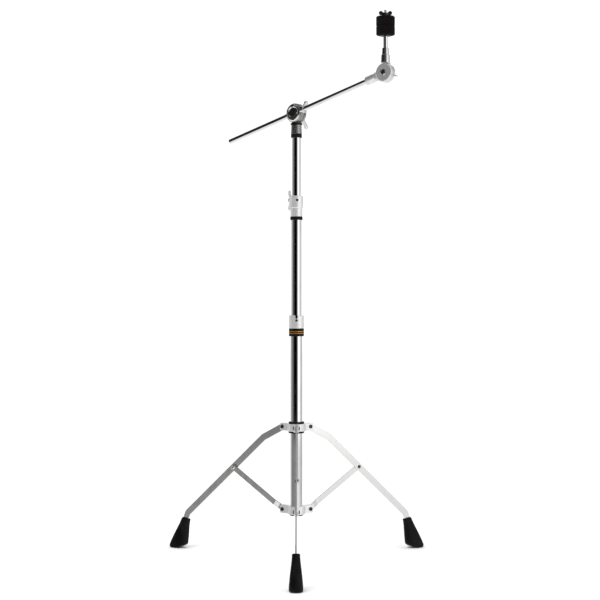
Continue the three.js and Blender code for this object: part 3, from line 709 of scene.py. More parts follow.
def black_rubber():
    """Moulded rubber: matt, dusty in patches, with a fine pebble."""
    made = finish("black_rubber")
    dust = made.noise(48, 5, 0.65)
    pebble = made.noise(1100, 3, 0.55)
    return made.surface({
        "Base Color": made.blended(dust.above(0.55, 0.2), grey(0.002), grey(0.007, 0.02)),
        "Roughness": 0.46 + dust * 0.2,
        "Specular IOR Level": 0.14,
        "Normal": made.relief(pebble + dust * 0.5, 0.00012, 0.6),
    })


def black_felt():
    """Pressed wool felt: a mat of short fibres, with paler ones here and there."""
    made = finish("black_felt")
    fibre = made.noise(900, 6, 0.8, (1, 1, 2.2))
    tuft = made.noise(170, 4, 0.7)
    pale = fibre.above(0.60, 0.06) * tuft.above(0.45, 0.2)
    return made.surface({
        "Base Color": made.blended(pale, (0.0034, 0.0028, 0.0027, 1), (0.022, 0.019, 0.018, 1)),
        "Roughness": 0.92 + tuft * 0.08,
        "Specular IOR Level": 0.06,
        "Sheen Weight": 0.015,
        "Sheen Roughness": 0.6,
        "Normal": made.relief(fibre + tuft * 1.4, 0.0005, 0.8),
    })


LOOKS = {make.__name__: make() for make in (
    chrome_tube, plated_bar, cast_metal, bright_cast, satin_painted_light_cast, pitted_painted_shade_cast, polished_cast,
    black_nylon, dark_steel, black_rubber, black_felt)}


# ---- Pieces ----

def build(name, shells, place, slot, body, nodes=(), material=None):
    """Makes one piece of its shells, shades it smoothly, and ties it to its body and nodes."""
    shells = [shell.put(place) for shell in (shells if isinstance(shells, list) else [shells])]
    counts = np.cumsum([0] + [len(shell.points) for shell in shells[:-1]])
    points = np.concatenate([shell.points for shell in shells]) * MM
    faces = []
    for start, shell in zip(counts, shells, strict=True):
        faces += (shell.quads + start).tolist() + (shell.triangles + start).tolist()
    mesh = bpy.data.meshes.new(name)
    mesh.from_pydata(points, [], faces)
    mesh.polygons.foreach_set("use_smooth", np.ones(len(faces), bool))
    mesh.update()
    if any(shell.normals is not None for shell in shells):
        normals = np.zeros(len(points) * 3, np.float32)
        mesh.vertex_normals.foreach_get("vector", normals)
        normals = normals.reshape(-1, 3)
        for start, shell in zip(counts, shells, strict=True):
            if shell.normals is not None:
                normals[start:start + len(shell.points)] = shell.normals
        mesh.normals_split_custom_set_from_vertices(normals)
    mesh.materials.append(material or LOOKS[slot])
    piece = bpy.data.objects.new(name, mesh)
    bpy.context.scene.collection.objects.link(piece)
    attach(piece, body)
    if nodes:
        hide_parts(*nodes)
    return piece


def stand_in_for(node, shells, place, slot, material=None):
    """A piece that takes one CAD node's place, on that node's body."""
    return build(f"{node}.fine", shells, place, slot, BODY_OF[node], (node,), material)


# ---- Tripod ----

def crossing(a, slope_a, b, slope_b):
    """Where two lines in a plane meet, each through a point at a slope in degrees."""
    da = np.array([np.cos(np.radians(slope_a)), np.sin(np.radians(slope_a))])
    db = np.array([np.cos(np.radians(slope_b)), np.sin(np.radians(slope_b))])
    t = np.linalg.solve(np.stack([da, -db], -1), np.array(b) - np.array(a))[0]
    return np.array(a) + t * da


def leg_lines(side):
    """The points of one leg in (radius, height): its pivot, knee, ankle, end and foot top."""
    spot = radial(side)
    start = spot.local(pivot(f"leg_{side}_hinge"))[[0, 2]]
    low, high = span("stay_rivet_front")
    rivet = np.array([abs((low[1] + high[1]) / 2 - AXIS[1]), (low[2] + high[2]) / 2])
    sole = spot.local(np.array(MOUNTS[f"sole_{side}"]["pos_m"]) / MM)[0]
    lean = np.radians(FOOT_LEAN)
    top = np.array([sole - FOOT_HEIGHT * np.tan(lean), FOOT_HEIGHT])
    knee = crossing(start, -KNEE_SLOPE, rivet, -LEG_SLOPE)
    ankle = crossing(rivet, -LEG_SLOPE, top, FOOT_LEAN - 90)
    end = top + FOOT_GRIP * np.array([np.sin(lean), -np.cos(lean)])
    return start, knee, ankle, end, top, rivet


def leg(side):
    """A flat bar that follows its centre line, with a round end at the pivot."""
    start, knee, ankle, end, _, _ = leg_lines(side)
    heading = (knee - start) / np.linalg.norm(knee - start)
    tip = start - heading * LEG_WIDTH / 2
    path = along(rounded([tip, (*knee, 22), (*ankle, 14), end], steps=10), 6)
    places, half_width = round_ends(walked(path), LEG_WIDTH / 2, both=False)
    line = picked(path, places)
    course = course_of(line, places)
    zero = np.zeros(len(line))
    centres = np.stack([line[:, 0], zero, line[:, 1]], -1)
    across = np.stack([-course[:, 1], zero, course[:, 0]], -1)
    through = np.broadcast_to((0.0, 1.0, 0.0), centres.shape)
    shell = barred(centres, across, through, half_width, np.full(len(line), LEG_THICKNESS / 2))
    stand_in_for(f"leg_{side}", shell, radial(side), "plated_bar")


def foot(side):
    """A leaning boot. At each height its outline is a superellipse about the leaning axis, wide
    at the sole, drawn in to the neck, with a rolled lip, its heel rounded and its toe lifted."""
    *_, top, _ = leg_lines(side)
    height = top[1] - FOOT_TOP_DROP
    level = np.concatenate([3.0 * (1 - np.cos(np.linspace(0, np.pi / 2, 7))),
                            np.linspace(4, height - 3, 44),
                            height - 2.2 * (1 - np.sin(np.linspace(0.1, np.pi / 2, 7)))])[:, None]
    share = level / height
    shares, widths = [0, 0.1, 0.2, 0.42, 0.62, 0.8, 0.92, 1], [1, 1, 0.95, 0.70, 0.40, 0.13, 0.0, -0.12]
    spread = 0.5 * (np.interp(share, shares, widths) + np.interp(share + 0.03, shares, widths))

    def roll(radius, depth):
        """How far an edge rounded to a radius has drawn in, at a depth within it."""
        return radius - np.sqrt(np.maximum(radius ** 2 - np.clip(radius - depth, 0, radius) ** 2, 0))
    lip = 0.5 * np.exp(-((level - height + 2.6) / 2.2) ** 2)
    angle = np.linspace(0, 2 * np.pi, 80, endpoint=False)
    heel = np.clip(np.cos(angle), 0, 1) ** 2
    drawn = roll(2.2, height - level) + roll(2.5, level) * (1 - heel) + roll(6.5, level) * heel
    half = [neck + (sole - neck) * spread + lip - drawn
            for neck, sole in zip(FOOT_NECK, FOOT_SOLE, strict=True)]
    x = half[0] * np.sign(np.cos(angle)) * np.abs(np.cos(angle)) ** 0.80
    y = half[1] * np.sign(np.sin(angle)) * np.abs(np.sin(angle)) ** 0.80
    lift = 9.0 * np.clip((-x - 3) / 18, 0, 1) ** 1.5 * (1 - share) ** 5
    slant = np.tan(np.radians(FOOT_LEAN))
    z = level + lift + x * slant * 0.6 * share ** 1.5
    x = top[0] + (top[1] - z) * slant + x
    stand_in_for(f"foot_{side}", woven(np.stack([x, y, z], -1)), radial(side), "black_rubber")


def stay(side):
    """A flat bar with round ends that steps sideways past the ears near its lower pivot."""
    low = radial(side).local(pivot(f"stay_{side}_hinge"))[[0, 2]]
    *_, rivet = leg_lines(side)
    length = np.linalg.norm(rivet - low)
    aside = (LEG_THICKNESS + STAY_THICKNESS) / 2 + GAP
    step, stepped = STAY_STEP
    radius = STAY_WIDTH / 2
    path = along(rounded([(-radius, 0), (step, 0, 9), (stepped, aside, 9), (length + radius, aside)],
                         steps=8), 5)
    places, half_width = round_ends(walked(path), radius)
    line = picked(path, places)
    course = course_of(line, places)
    zero = np.zeros(len(line))
    centres = np.stack([line[:, 0], line[:, 1], zero], -1)
    through = np.stack([-course[:, 1], course[:, 0], zero], -1)
    across = np.broadcast_to((0.0, 0.0, 1.0), centres.shape)
    shell = barred(centres, across, through, half_width, np.full(len(line), STAY_THICKNESS / 2))
    rise = np.degrees(np.arctan2(rivet[1] - low[1], rivet[0] - low[0]))
    place = radial(side).moved(low[0], 0, low[1]).spun(-rise, "y")
    stand_in_for(f"stay_{side}", shell, place, "plated_bar")


def rivet_head(seat, rise, radius=PIN_HEAD[0]):
    """A tubular rivet's rolled head as outline points, from its seat over its rim into its bore."""
    return [(radius, seat, 0.3), (radius - 0.3, seat + rise * 0.5, 0.8), (radius * 0.62, seat + rise, 0.9),
            (radius * 0.40, seat + rise * 0.7, 0.5), (radius * 0.34, seat - 0.6, 0.2)]


def pin(node, side, joint):
    """A rivet across an ear pair, with a domed head outside each ear."""
    seat = EAR_INSIDE + EAR_THICKNESS + GAP
    head = rivet_head(seat, PIN_HEAD[1])
    outline = ([(0, 0.6 - seat)] + [(r, -h, e) for r, h, e in reversed(head)]
               + [(PIN_RADIUS, -seat, 0.2), (PIN_RADIUS, seat, 0.2)] + head + [(0, seat - 0.6)])
    spot = radial(side)
    middle = spot.local(pivot(joint))
    stand_in_for(node, turned(outline, 48), spot.moved(middle[0], 0, middle[2]).upended(), "dark_steel")


def stay_rivet(side):
    """The stay's rivet, and its closed tail on the far side of the leg."""
    *_, at = leg_lines(side)
    spot = radial(side).moved(at[0], 0, at[1]).upended()
    inner = LEG_THICKNESS / 2 + GAP
    seat = inner + STAY_THICKNESS + GAP
    head = rivet_head(seat, PIN_HEAD[1], 5.0)
    outline = [(0, inner), (PIN_RADIUS, inner, 0.2), (PIN_RADIUS, seat, 0.2), *head, (0, seat - 0.6)]
    stand_in_for(f"stay_rivet_{side}", turned(outline, 48), spot, "plated_bar")
    back = -LEG_THICKNESS / 2
    tail = rivet_head(0, 1.6, 3.9)
    outline = [(0, back)] + [(r, back - h, e) for r, h, e in tail[:-1]] + [(0, back - 1.6 * 0.7)]
    build(f"leg_rivet_tail_{side}", turned(outline, 48), spot, "dark_steel", BODY_OF[f"leg_{side}"])


def eared(x, y, z, bore, radius, low, high, pin_height):
    """A ring with three pairs of drilled ears, joined to it by small fillets."""
    q = np.hypot(x, y)
    reach = np.linalg.norm((pivot("leg_front_hinge") - AXIS)[:2]) + EAR_REACH
    body = prism(q - radius, z, low, high, 0.8)
    holes = np.full_like(body, 1e3)
    for side in SIDES:
        out = outward(f"leg_{side}_hinge")
        r = x * out[0] + y * out[1]
        t = -x * out[1] + y * out[0]
        face = plate(r, z, (radius - 5, low), (reach, high), 3.2)
        ear = prism(face, np.abs(t), EAR_INSIDE, EAR_INSIDE + EAR_THICKNESS, 0.6)
        body = meet(body, ear, 1.4)
        holes = np.minimum(holes, np.hypot(r - (reach - EAR_REACH), z - pin_height) - PIN_RADIUS - GAP
                           + 1e3 * (r < 0))
    return cut(cut(body, q - bore, 0.5), holes, 0.3)


def stay_bracket():
    low, high = span("stay_bracket")
    low, high = low - AXIS, high - AXIS
    bore = (tube_high[0] - tube_low[0]) / 2 + GAP
    height = pivot("stay_front_hinge")[2]

    def field(x, y, z):
        return eared(x, y, z, bore, bore + 5.7, low[2], high[2], height)
    stand_in_for("stay_bracket", cast(field, low, high), COLUMN, "cast_metal")


def leg_bracket():
    """The sliding bracket: three ear pairs and the boss that its wing bolt goes through."""
    low, high = span("leg_bracket")
    low, high = low - AXIS, high - AXIS
    radius = high[1] - BOSS_REACH
    height = pivot("leg_clamp_bolt_turn")[2]
    bore = radius - 3.8

    def field(x, y, z):
        body = eared(x, y, z, bore + SOLID, radius, low[2], high[2], pivot("leg_front_hinge")[2])
        q = np.hypot(x, z - height)
        body = meet(body, prism(q - BOSS_RADIUS, y, radius - 6, radius + BOSS_REACH, 1.2), 3.0)
        body = cut(body, np.hypot(x, y) - bore, 0.5)
        return cut(body, np.maximum(q - BOLT_RADIUS - GAP, -y), 0.4)
    stand_in_for("leg_bracket", cast(field, low, high), COLUMN, "cast_metal")


def leg_bracket_bush():
    """A nylon bush with a rounded flange above and below the bracket."""
    low, high = span("leg_bracket_bush")
    rim = (high[0] - low[0]) / 2
    inner = (tube_high[0] - tube_low[0]) / 2 + GAP
    flange = span("leg_bracket")[0][2] - GAP - low[2]
    wall = rim - 1.4
    outline = [(inner, low[2]), (rim, low[2], 1.0), (rim, low[2] + flange, 0.6),
               (wall, low[2] + flange, 0.1), (wall, high[2] - flange, 0.1),
               (rim, high[2] - flange, 0.6), (rim, high[2], 1.0), (inner, high[2])]
    stand_in_for("leg_bracket_bush", turned(outline, closed=True), COLUMN, "black_nylon")


# ---- Column ----

def plain_ring(node, inner, slot, edge=EDGE, material=None, sides=96):
    """A ring about the column between its own heights and out to its own width."""
    low, high = span(node)
    outer = (high[0] - low[0]) / 2
    stand_in_for(node, hollow(inner, outer, low[2], high[2], edge, sides), COLUMN, slot, material)


def width(node):
    low, high = span(node)
    return (high[0] - low[0]) / 2


BASE_OUTER = width("base_tube")
BASE_INNER = BASE_OUTER - 1.2
MIDDLE_OUTER = width("middle_tube")
MIDDLE_INNER = MIDDLE_OUTER - 1.2
UPPER_OUTER = width("upper_tube")
UPPER_INNER = UPPER_OUTER - 1.1


def tube_end_plug():
    """The plug in the base tube's lower end, its rim flaring up to the bracket."""
    low, high = span("tube_end_plug")
    rim, spigot = width("tube_end_plug"), BASE_INNER - GAP
    seat = span("stay_bracket")[0][2] - GAP
    outline = [(0, low[2]), (rim - 1.4, low[2], 1.2), (rim, seat, 0.4), (spigot, seat, 0.2),
               (spigot, high[2], 1.0), (0, high[2])]
    stand_in_for("tube_end_plug", turned(outline), COLUMN, "black_nylon")


def stop_screw():
    """A low cross-recessed dome on the front of the base tube."""
    low, high = span("stop_screw")
    middle = (low + high) / 2 - AXIS
    heading = np.degrees(np.arctan2(middle[1], middle[0]))
    place = COLUMN.moved(z=middle[2]).spun(heading).sideways()

    def field(x, y, z):
        q = np.hypot(x, y)
        dome = np.hypot(q, z - BASE_OUTER - GAP + 2.6) - 4.6
        body = -meet(-prism(q - 3.0, z, BASE_OUTER, BASE_OUTER + 5, 0.3), -dome, 0.4)
        slot = np.minimum(np.maximum(np.abs(x) - 0.35, np.abs(y) - 1.7),
                          np.maximum(np.abs(y) - 0.35, np.abs(x) - 1.7))
        return cut(body, np.maximum(slot, BASE_OUTER + 1.2 - z), 0.15)
    stand_in_for("stop_screw", cast(field, (-3, -3, BASE_OUTER), (3, 3, BASE_OUTER + 3), 0.18),
                 place, "dark_steel")


def set_screw(node, reach, heading=-90.0):
    """A headless screw with a socket, level in its collar's wall, pointing from the axis."""
    low, high = span(node)
    height = (low[2] + high[2]) / 2
    outline = [(0, reach - 3), (2.4, reach - 3, 0.2), (2.4, reach, 0.35), (1.3, reach, 0.1),
               (1.15, reach - 1.1, 0.1), (0, reach - 1.3)]
    place = COLUMN.moved(z=height).spun(heading).sideways()
    stand_in_for(node, turned(outline, 36), place, "dark_steel")


def guide(node, rim, spigot):
    """A nylon guide: a grooved disc below the tube's end and a spigot up inside it."""
    low, high = span(node)
    seat = low[2] + 4.7
    groove = (low[2] + seat) / 2
    outline = [(0, low[2]), (rim, low[2], 0.7), (rim, groove - 0.7, 0.2), (rim - 0.5, groove, 0.3),
               (rim, groove + 0.7, 0.2), (rim, seat, 0.5), (spigot, seat, 0.2), (spigot, high[2], 0.8),
               (0, high[2])]
    stand_in_for(node, turned(outline, 64), COLUMN, "black_nylon")


def boss_field(x, y, z, height, heading, wall):
    """A round boss on a collar and the hole through it, as two fields."""
    cosine, sine = np.cos(np.radians(heading)), np.sin(np.radians(heading))
    out = x * cosine + y * sine
    aside = -x * sine + y * cosine
    q = np.hypot(aside, z - height)
    return (prism(q - BOSS_RADIUS, out, wall - 5, wall + BOSS_REACH, 1.2),
            np.maximum(q - BOLT_RADIUS - GAP, -out))


def lower_collar():
    """The lower height clamp: a socket over the base tube, a boss behind, and a notch in front."""
    low, high = span("lower_collar")
    radius = (high[0] - low[0]) / 2
    seat = tube_high[2] + GAP
    bore = radius - 2.0
    height = pivot("lower_clamp_bolt_turn")[2]
    screw = sum(span("lower_set_screw"))[2] / 2

    def field(x, y, z):
        q = np.hypot(x, y)
        body = prism(q - radius, z, low[2], high[2], 1.1)
        boss, hole = boss_field(x, y, z, height, 90, radius)
        body = meet(body, boss, 3.0)
        body = cut(body, np.maximum(q - BASE_OUTER - GAP, z - seat), 0.4)
        body = cut(body, np.maximum(q - bore, seat - z), 0.4)
        notch = np.hypot(x, np.minimum(z - high[2] + 4.5, 0)) - 2.5
        body = cut(body, np.maximum(notch, y), 0.5)
        body = cut(body, np.maximum(np.hypot(x, z - screw) - 2.6, y), 0.3)
        return cut(body, hole, 0.4)
    corner = np.array([radius, radius, 0])
    shell = cast(field, -corner + (0, 0, low[2]), corner + (0, BOSS_REACH, high[2]))
    stand_in_for("lower_collar", shell, COLUMN, "cast_metal")
    set_screw("lower_set_screw", radius + 0.3)


def upper_collar():
    """The upper height clamp: slim over the middle tube, stepping out to its bush and boss."""
    low, high = span("upper_collar")
    slim = MIDDLE_OUTER + GAP + 1.5
    wide = slim + 1.6
    step = span("middle_tube")[1][2]
    bore = wide - 2.2
    height = pivot("upper_clamp_bolt_turn")[2]
    heading = np.degrees(np.arctan2(*direction("upper_clamp_pad_slide")[[1, 0]]))
    screw = sum(span("upper_set_screw"))[2] / 2
    aside = 0.12                # radians that the screw sits round from the front

    def field(x, y, z):
        q = np.hypot(x, y)
        body = meet(prism(q - slim, z, low[2], high[2] - 4, 0.5),
                    prism(q - wide, z, step, high[2], 1.2), 0.8)
        boss, hole = boss_field(x, y, z, height, heading, wide)
        body = meet(body, boss, 3.0)
        body = cut(body, np.maximum(q - MIDDLE_OUTER - GAP, z - step - 1), 0.3)
        body = cut(body, np.maximum(q - bore, step + 1.3 - z), 0.4)
        body = cut(body, np.maximum(np.hypot(x * np.cos(aside) + y * np.sin(aside), z - screw) - 2.6, y),
                   0.3)
        return cut(body, hole, 0.4)
    reach = wide + BOSS_REACH
    shell = cast(field, (-wide - 6, -wide, low[2]), (wide, reach, high[2]))
    stand_in_for("upper_collar", shell, COLUMN, "cast_metal")
    set_screw("upper_set_screw", wide + 0.3, -90 + np.degrees(aside))


def column():
    plain_ring("base_tube", BASE_INNER, "chrome_tube", 0.35, sides=128)
    plain_ring("middle_tube", MIDDLE_INNER, "chrome_tube", 0.35, sides=128)
    plain_ring("upper_tube", UPPER_INNER, "chrome_tube", 0.3, sides=128)
    band_low, band_high = span("lower_band")
    stripes = striped_nylon(band_low[2] * MM, band_high[2] * MM)
    plain_ring("lower_band", BASE_OUTER + GAP, "black_nylon", 0.7, stripes)
    plain_ring("lower_bush", MIDDLE_OUTER + GAP, "black_nylon")
    plain_ring("upper_collar_ring", MIDDLE_OUTER + GAP, "black_nylon", 1.1)
    plain_ring("upper_bush", UPPER_OUTER + GAP, "black_nylon")
    plain_ring("neck_ring", UPPER_OUTER + GAP, "black_nylon", 1.1)
    tube_end_plug()
    stop_screw()
    guide("middle_guide", BASE_INNER - GAP, MIDDLE_INNER - GAP)
    guide("upper_guide", MIDDLE_INNER - GAP, UPPER_INNER - GAP)
    lower_collar()
    upper_collar()


# ---- Wing bolts and wing nuts: about y, with wings along x ----

def wings(x, y, z, seat, size):
    """Two flat paddles. In the plane each is a line that thickens towards its round end, at
    the distance to the line less a radius that grows along it."""
    reach, lobe, lift, (low, high), thickness = size
    root = (high - low) / 2
    a = np.array([2.0, seat + (low + high) / 2])
    d = np.array([reach - lobe, seat + lift]) - a
    px, py = np.abs(x) - a[0], y - a[1]
    t = np.clip((px * d[0] + py * d[1]) / (d @ d), 0, 1)
    outline = np.hypot(px - t * d[0], py - t * d[1]) - (root + t ** 1.6 * (lobe - root))
    return prism(outline, z + 0 * x, -thickness / 2, thickness / 2, thickness * 0.42)


def winged_hub(x, y, z, hub, radius, size):
    """A tapered hub with its two wings."""
    q = np.hypot(x, z)
    taper = radius - 0.12 * (y - hub[0])
    body = prism(q - taper, y, hub[0], hub[1], 1.0)
    body = meet(body, prism(q - radius - 0.4, y, hub[0], hub[0] + 1.8, 0.6), 0.6)
    return meet(body, wings(x, y, z, hub[0], size), 2.6)


def wing_corners(hub, radius, size):
    """The corners of a box that holds a hub and its wings."""
    reach, lobe, lift, _, _ = size
    top = max(hub[1], hub[0] + lift + lobe) + 0.5
    return (-reach, hub[0], -radius - 1), (reach, top, radius + 1)


def wing_bolt(name, joint, turn, seat, tip):
    """A wing bolt and its pad, on a clamp whose boss ends at the seat; its tip meets the pad."""
    heading = direction(joint)
    place = Place((*AXIS[:2], pivot(joint)[2]), np.cross(heading, (0, 0, 1)), heading).spun(turn, "y")
    hub = (seat + 3, seat + 10)

    def field(x, y, z):
        return winged_hub(x, y, z, hub, 6.5, BOLT_WINGS)
    head = cast(field, *wing_corners(hub, 6.5, BOLT_WINGS))
    upright = Place((0, 0, 0)).upended()
    stem = threaded(BOLT_RADIUS, tip, hub[0] + 1.5, 1.5).put(upright)
    stand_in_for(f"{name}_wing_bolt", [head, stem], place, "cast_metal")
    pad = turned([(0, tip - 2.5), (BOLT_RADIUS - 0.1, tip - 2.5, 0.3), (BOLT_RADIUS - 0.1, tip - 0.3, 0.3),
                  (0, tip - 0.3)], 40)
    stand_in_for(f"{name}_pad", pad.put(upright), place, "dark_steel")


def wing_nut(node, place, hub, bore, radius, size, slot="cast_metal", knob=0.0):
    """A wing nut about y: tapered hub, wings and a bore. A knob rounds out each wing's end."""
    reach, lobe, lift, _, _ = size

    def field(x, y, z):
        body = winged_hub(x, y, z, hub, radius, size)
        if knob:
            ball = np.sqrt((np.abs(x) - reach + lobe) ** 2 + (y - hub[0] - lift) ** 2 + z ** 2) - knob
            body = meet(body, ball, 1.5)
        return cut(body, np.hypot(x, z) - bore, 0.4)
    shell = cast(field, *wing_corners(hub, radius, size), 0.45)
    stand_in_for(node, shell, place, slot, LOOKS["bright_cast"] if slot == "cast_metal" else None)


# ---- Boom tilter ----

NECK_RADIUS = 11.3
DRUM_RADIUS = 21.0
FACES = (-14.0, 0.5)
FIXED = (2.1, 10.1)
EYE_RADIUS = 9.5
SLEEVE = (5.45, 6.4)
SLEEVE_COLLAR = (21.6, 28.6, 8.2)
BOOM_RADIUS = 5.15
BOOM_BACK = -189.0


def teeth(x, y, z, face):
    """Sixty shallow radial teeth round the drum, fading out away from a face."""
    return 0.25 * np.cos(60 * np.arctan2(x, z)) * np.exp(-((y - face) / 1.4) ** 2)


def tilter_base():
    """The neck over the upper tube, with the fixed half of the drum above it."""
    low = span("tilter_base")[0][2] - HEAD.origin[2]
    top = -DRUM_RADIUS - GAP

    def field(x, y, z):
        q, r = np.hypot(x, y), np.hypot(x, z)
        neck = prism(q - NECK_RADIUS + (z - (low + top) / 2) * DRAFT, z, low, top + 1.0, 0.8)
        half = prism(r - DRUM_RADIUS + teeth(x, y, z, FIXED[0]), y, *FIXED, 0.5)
        half = -meet(-half, -(prism(r - DRUM_RADIUS, y, FIXED[0] - 9, FIXED[1], 3.2)), 0.6)
        rib = prism(plate(x, z, (-8.5, top - 2), (8.5, -DRUM_RADIUS + 7), 2), y, -6, FIXED[1] - 1, 1.5)
        rib = np.maximum(rib, 3.4 - y + np.clip(-DRUM_RADIUS + 0.5 - z, 0, 8) * -8)
        body = meet(meet(neck, half, 1.2), rib, 2.0)
        body = cut(body, np.maximum(q - UPPER_OUTER - GAP, z - low - 8.3), 0.3)
        return cut(body, np.maximum(r - BOLT_RADIUS - GAP, -y), 0.4)
    shell = cast(field, (-DRUM_RADIUS, -12, low), (DRUM_RADIUS, FIXED[1], DRUM_RADIUS))
    # The neck and fixed half take the shaded copy of the plating: its dark colour is painted shade.
    stand_in_for("tilter_base", shell, HEAD, "polished_cast", LOOKS["pitted_painted_shade_cast"])
    band = hollow(NECK_RADIUS + 0.1, NECK_RADIUS + 1.2, top - 3.7, top, 0.5)
    build("neck_band", band, HEAD, "black_nylon", BODY_OF["tilter_base"])


def tilter_rotor():
    """The turning half: a drum with two grooves round its rim and a rolled bead round its eye
    bolt, bored for the boom."""
    def field(x, y, z):
        r = np.hypot(x, z)
        drum = prism(r - DRUM_RADIUS, y, FACES[0] + 2.5, FACES[1] + 20, 5.0)
        drum = -meet(-drum, FACES[1] - y, 0.5)
        for at in (-5.2, -2.6):
            drum = cut(drum, np.hypot((r - DRUM_RADIUS) / 0.8, y - at) - 0.7, 0.4)
        drum = drum + teeth(x, y, z, FACES[1]) * (r > DRUM_RADIUS - 2)
        drum = cut(drum, r - EYE_RADIUS - GAP, 0.4)
        return cut(drum, np.hypot(y - BOOM_OFFSET, z) - SLEEVE[1] - GAP, 0.5)
    shell = cast(field, (-DRUM_RADIUS, FACES[0], -DRUM_RADIUS), (DRUM_RADIUS, FACES[1], DRUM_RADIUS))
    # The turning half takes the shaded copy too: its dark colour is painted shade.
    stand_in_for("tilter_rotor", shell, BOOM, "polished_cast", LOOKS["pitted_painted_shade_cast"])
    near, middle, wide = FACES[0] + 2.4, (DRUM_RADIUS + EYE_RADIUS) / 2 - 0.4, 3.6
    bead = turned([(middle - wide, near + 0.6, 0.2), (middle - wide, near - 0.6, 1.2),
                   (middle, near - 2.4, 2.6), (middle + wide, near - 0.2, 1.2),
                   (middle + wide, near + 0.6, 0.2)], closed=True, steps=8)
    build("tilter_bead", bead, BOOM.upended(), "polished_cast", BODY_OF["tilter_rotor"])


def eye_bolt():
    """The eye bolt: a crowned plug that the boom passes through, and its threaded stud."""
    stud = FIXED[1] + 17

    def field(x, y, z):
        r = np.hypot(x, z)
        plug = prism(r - EYE_RADIUS, y, FACES[0] - 0.6, FACES[1], 1.5)
        plug = cut(plug, np.hypot(r, y - FACES[0] + 0.6) - 1.6, 0.6)
        return cut(plug, np.hypot(y - BOOM_OFFSET, z) - SLEEVE[1] - GAP, 0.4)
    plug = cast(field, (-EYE_RADIUS, FACES[0] - 1, -EYE_RADIUS), (EYE_RADIUS, FACES[1], EYE_RADIUS), 0.4)
    thread = threaded(BOLT_RADIUS, FACES[1] - 0.5, stud, 1.25).put(Place((0, 0, 0)).upended())
    stand_in_for("eye_bolt", [plug, thread], BOOM, "dark_steel")


def clamp_sleeve():
    """The split sleeve round the boom, with a collar where it comes out of the drum."""
    start, end, radius = SLEEVE_COLLAR

    def field(x, y, z):
        q = np.hypot(y, z)
        body = meet(prism(q - SLEEVE[1], x, -DRUM_RADIUS, start + 2, 0.3),
                    prism(q - radius, x, start, end, 0.9), 0.3)
        body = cut(body, q - SLEEVE[0], 0.2)
        return cut(body, np.maximum(np.abs(y) - 0.7, -z), 0.2)
    shell = cast(field, (-DRUM_RADIUS, -radius, -radius), (end, radius, radius), 0.38)
    stand_in_for("clamp_sleeve", shell, BOOM.moved(y=BOOM_OFFSET), "polished_cast")


def boom():
    """The boom: a chrome rod with eased ends, cut square behind and held in a socket in front."""
    front = np.linalg.norm(END.origin - BOOM.moved(y=BOOM_OFFSET).origin) - TILTER_RADIUS - GAP - 2.3
    rod = turned([(0, BOOM_BACK), (BOOM_RADIUS, BOOM_BACK, 0.6), (BOOM_RADIUS, front, 0.6), (0, front)], 96)
    stand_in_for("boom_rod", rod, BOOM.moved(y=BOOM_OFFSET).sideways(), "chrome_tube")


def boom_tilter():
    tilter_base()
    tilter_rotor()
    eye_bolt()
    clamp_sleeve()
    boom()
    ring = hollow(EYE_RADIUS + GAP, DRUM_RADIUS - 1.5, FACES[1] + GAP, FACES[1] + GAP + 1, 0.2)
    stand_in_for("friction_washer", ring, HEAD.upended(), "black_nylon")
    seat = FIXED[1] + GAP
    tilt = np.degrees(np.arcsin(BOOM_LINE[2]))
    wing_nut("boom_wing_nut", BOOM.spun(90 + tilt, "y"), (seat, seat + 9), BOLT_RADIUS + GAP, 8, BOOM_WINGS,
             knob=4.6)


# ---- Cymbal tilter and holder ----

TILTER_RADIUS = 19.5
TILTER_HALF = 8.7
TILTER_BOLT = 3.9
FERRULE = (8.85, 28.0)
POST = ((9.0, 17.0), (7.0, 14.0))
ROD_RADIUS = 4.65
STEM_RADIUS = 3.1
FELT_SLEEVE = 5.2   # radius of the nylon sleeve inside the felts


def boom_end():
    """The half on the boom's end: half a drum, and the ferrule that holds the boom."""
    out = TILTER_RADIUS + GAP
    radius, length = FERRULE

    def field(x, y, z):
        r, q = np.hypot(x, z), np.hypot(y, z)
        half = prism(r - TILTER_RADIUS, y, -GAP - TILTER_HALF, GAP + 9, 3.4)
        half = -meet(-half, -GAP - y, 0.5)
        ferrule = prism(q - radius, x, -out - length, -out, 0.9)
        ferrule = cut(ferrule, np.hypot((q - radius) / 0.7, x + out + 4) - 0.7, 0.3)
        bridge = prism(plate(y, z, (-TILTER_HALF + 0.6, -7.5), (-GAP, 7.5), 2), x,
                       -out - 3, -TILTER_RADIUS + 7, 1)
        body = meet(meet(half, bridge, 2.0), ferrule, 0.8)
        body = cut(body, np.maximum(q - 5.45, x + out + 2), 0.3)
        return cut(body, r - TILTER_BOLT - GAP, 0.4)
    low = (-out - length, -TILTER_HALF - 1, -TILTER_RADIUS)
    shell = cast(field, low, (TILTER_RADIUS, radius, TILTER_RADIUS))
    # The boom's end takes the lit copy of the plating: its pale colour is painted light.
    stand_in_for("boom_end", shell, END, "polished_cast", LOOKS["satin_painted_light_cast"])


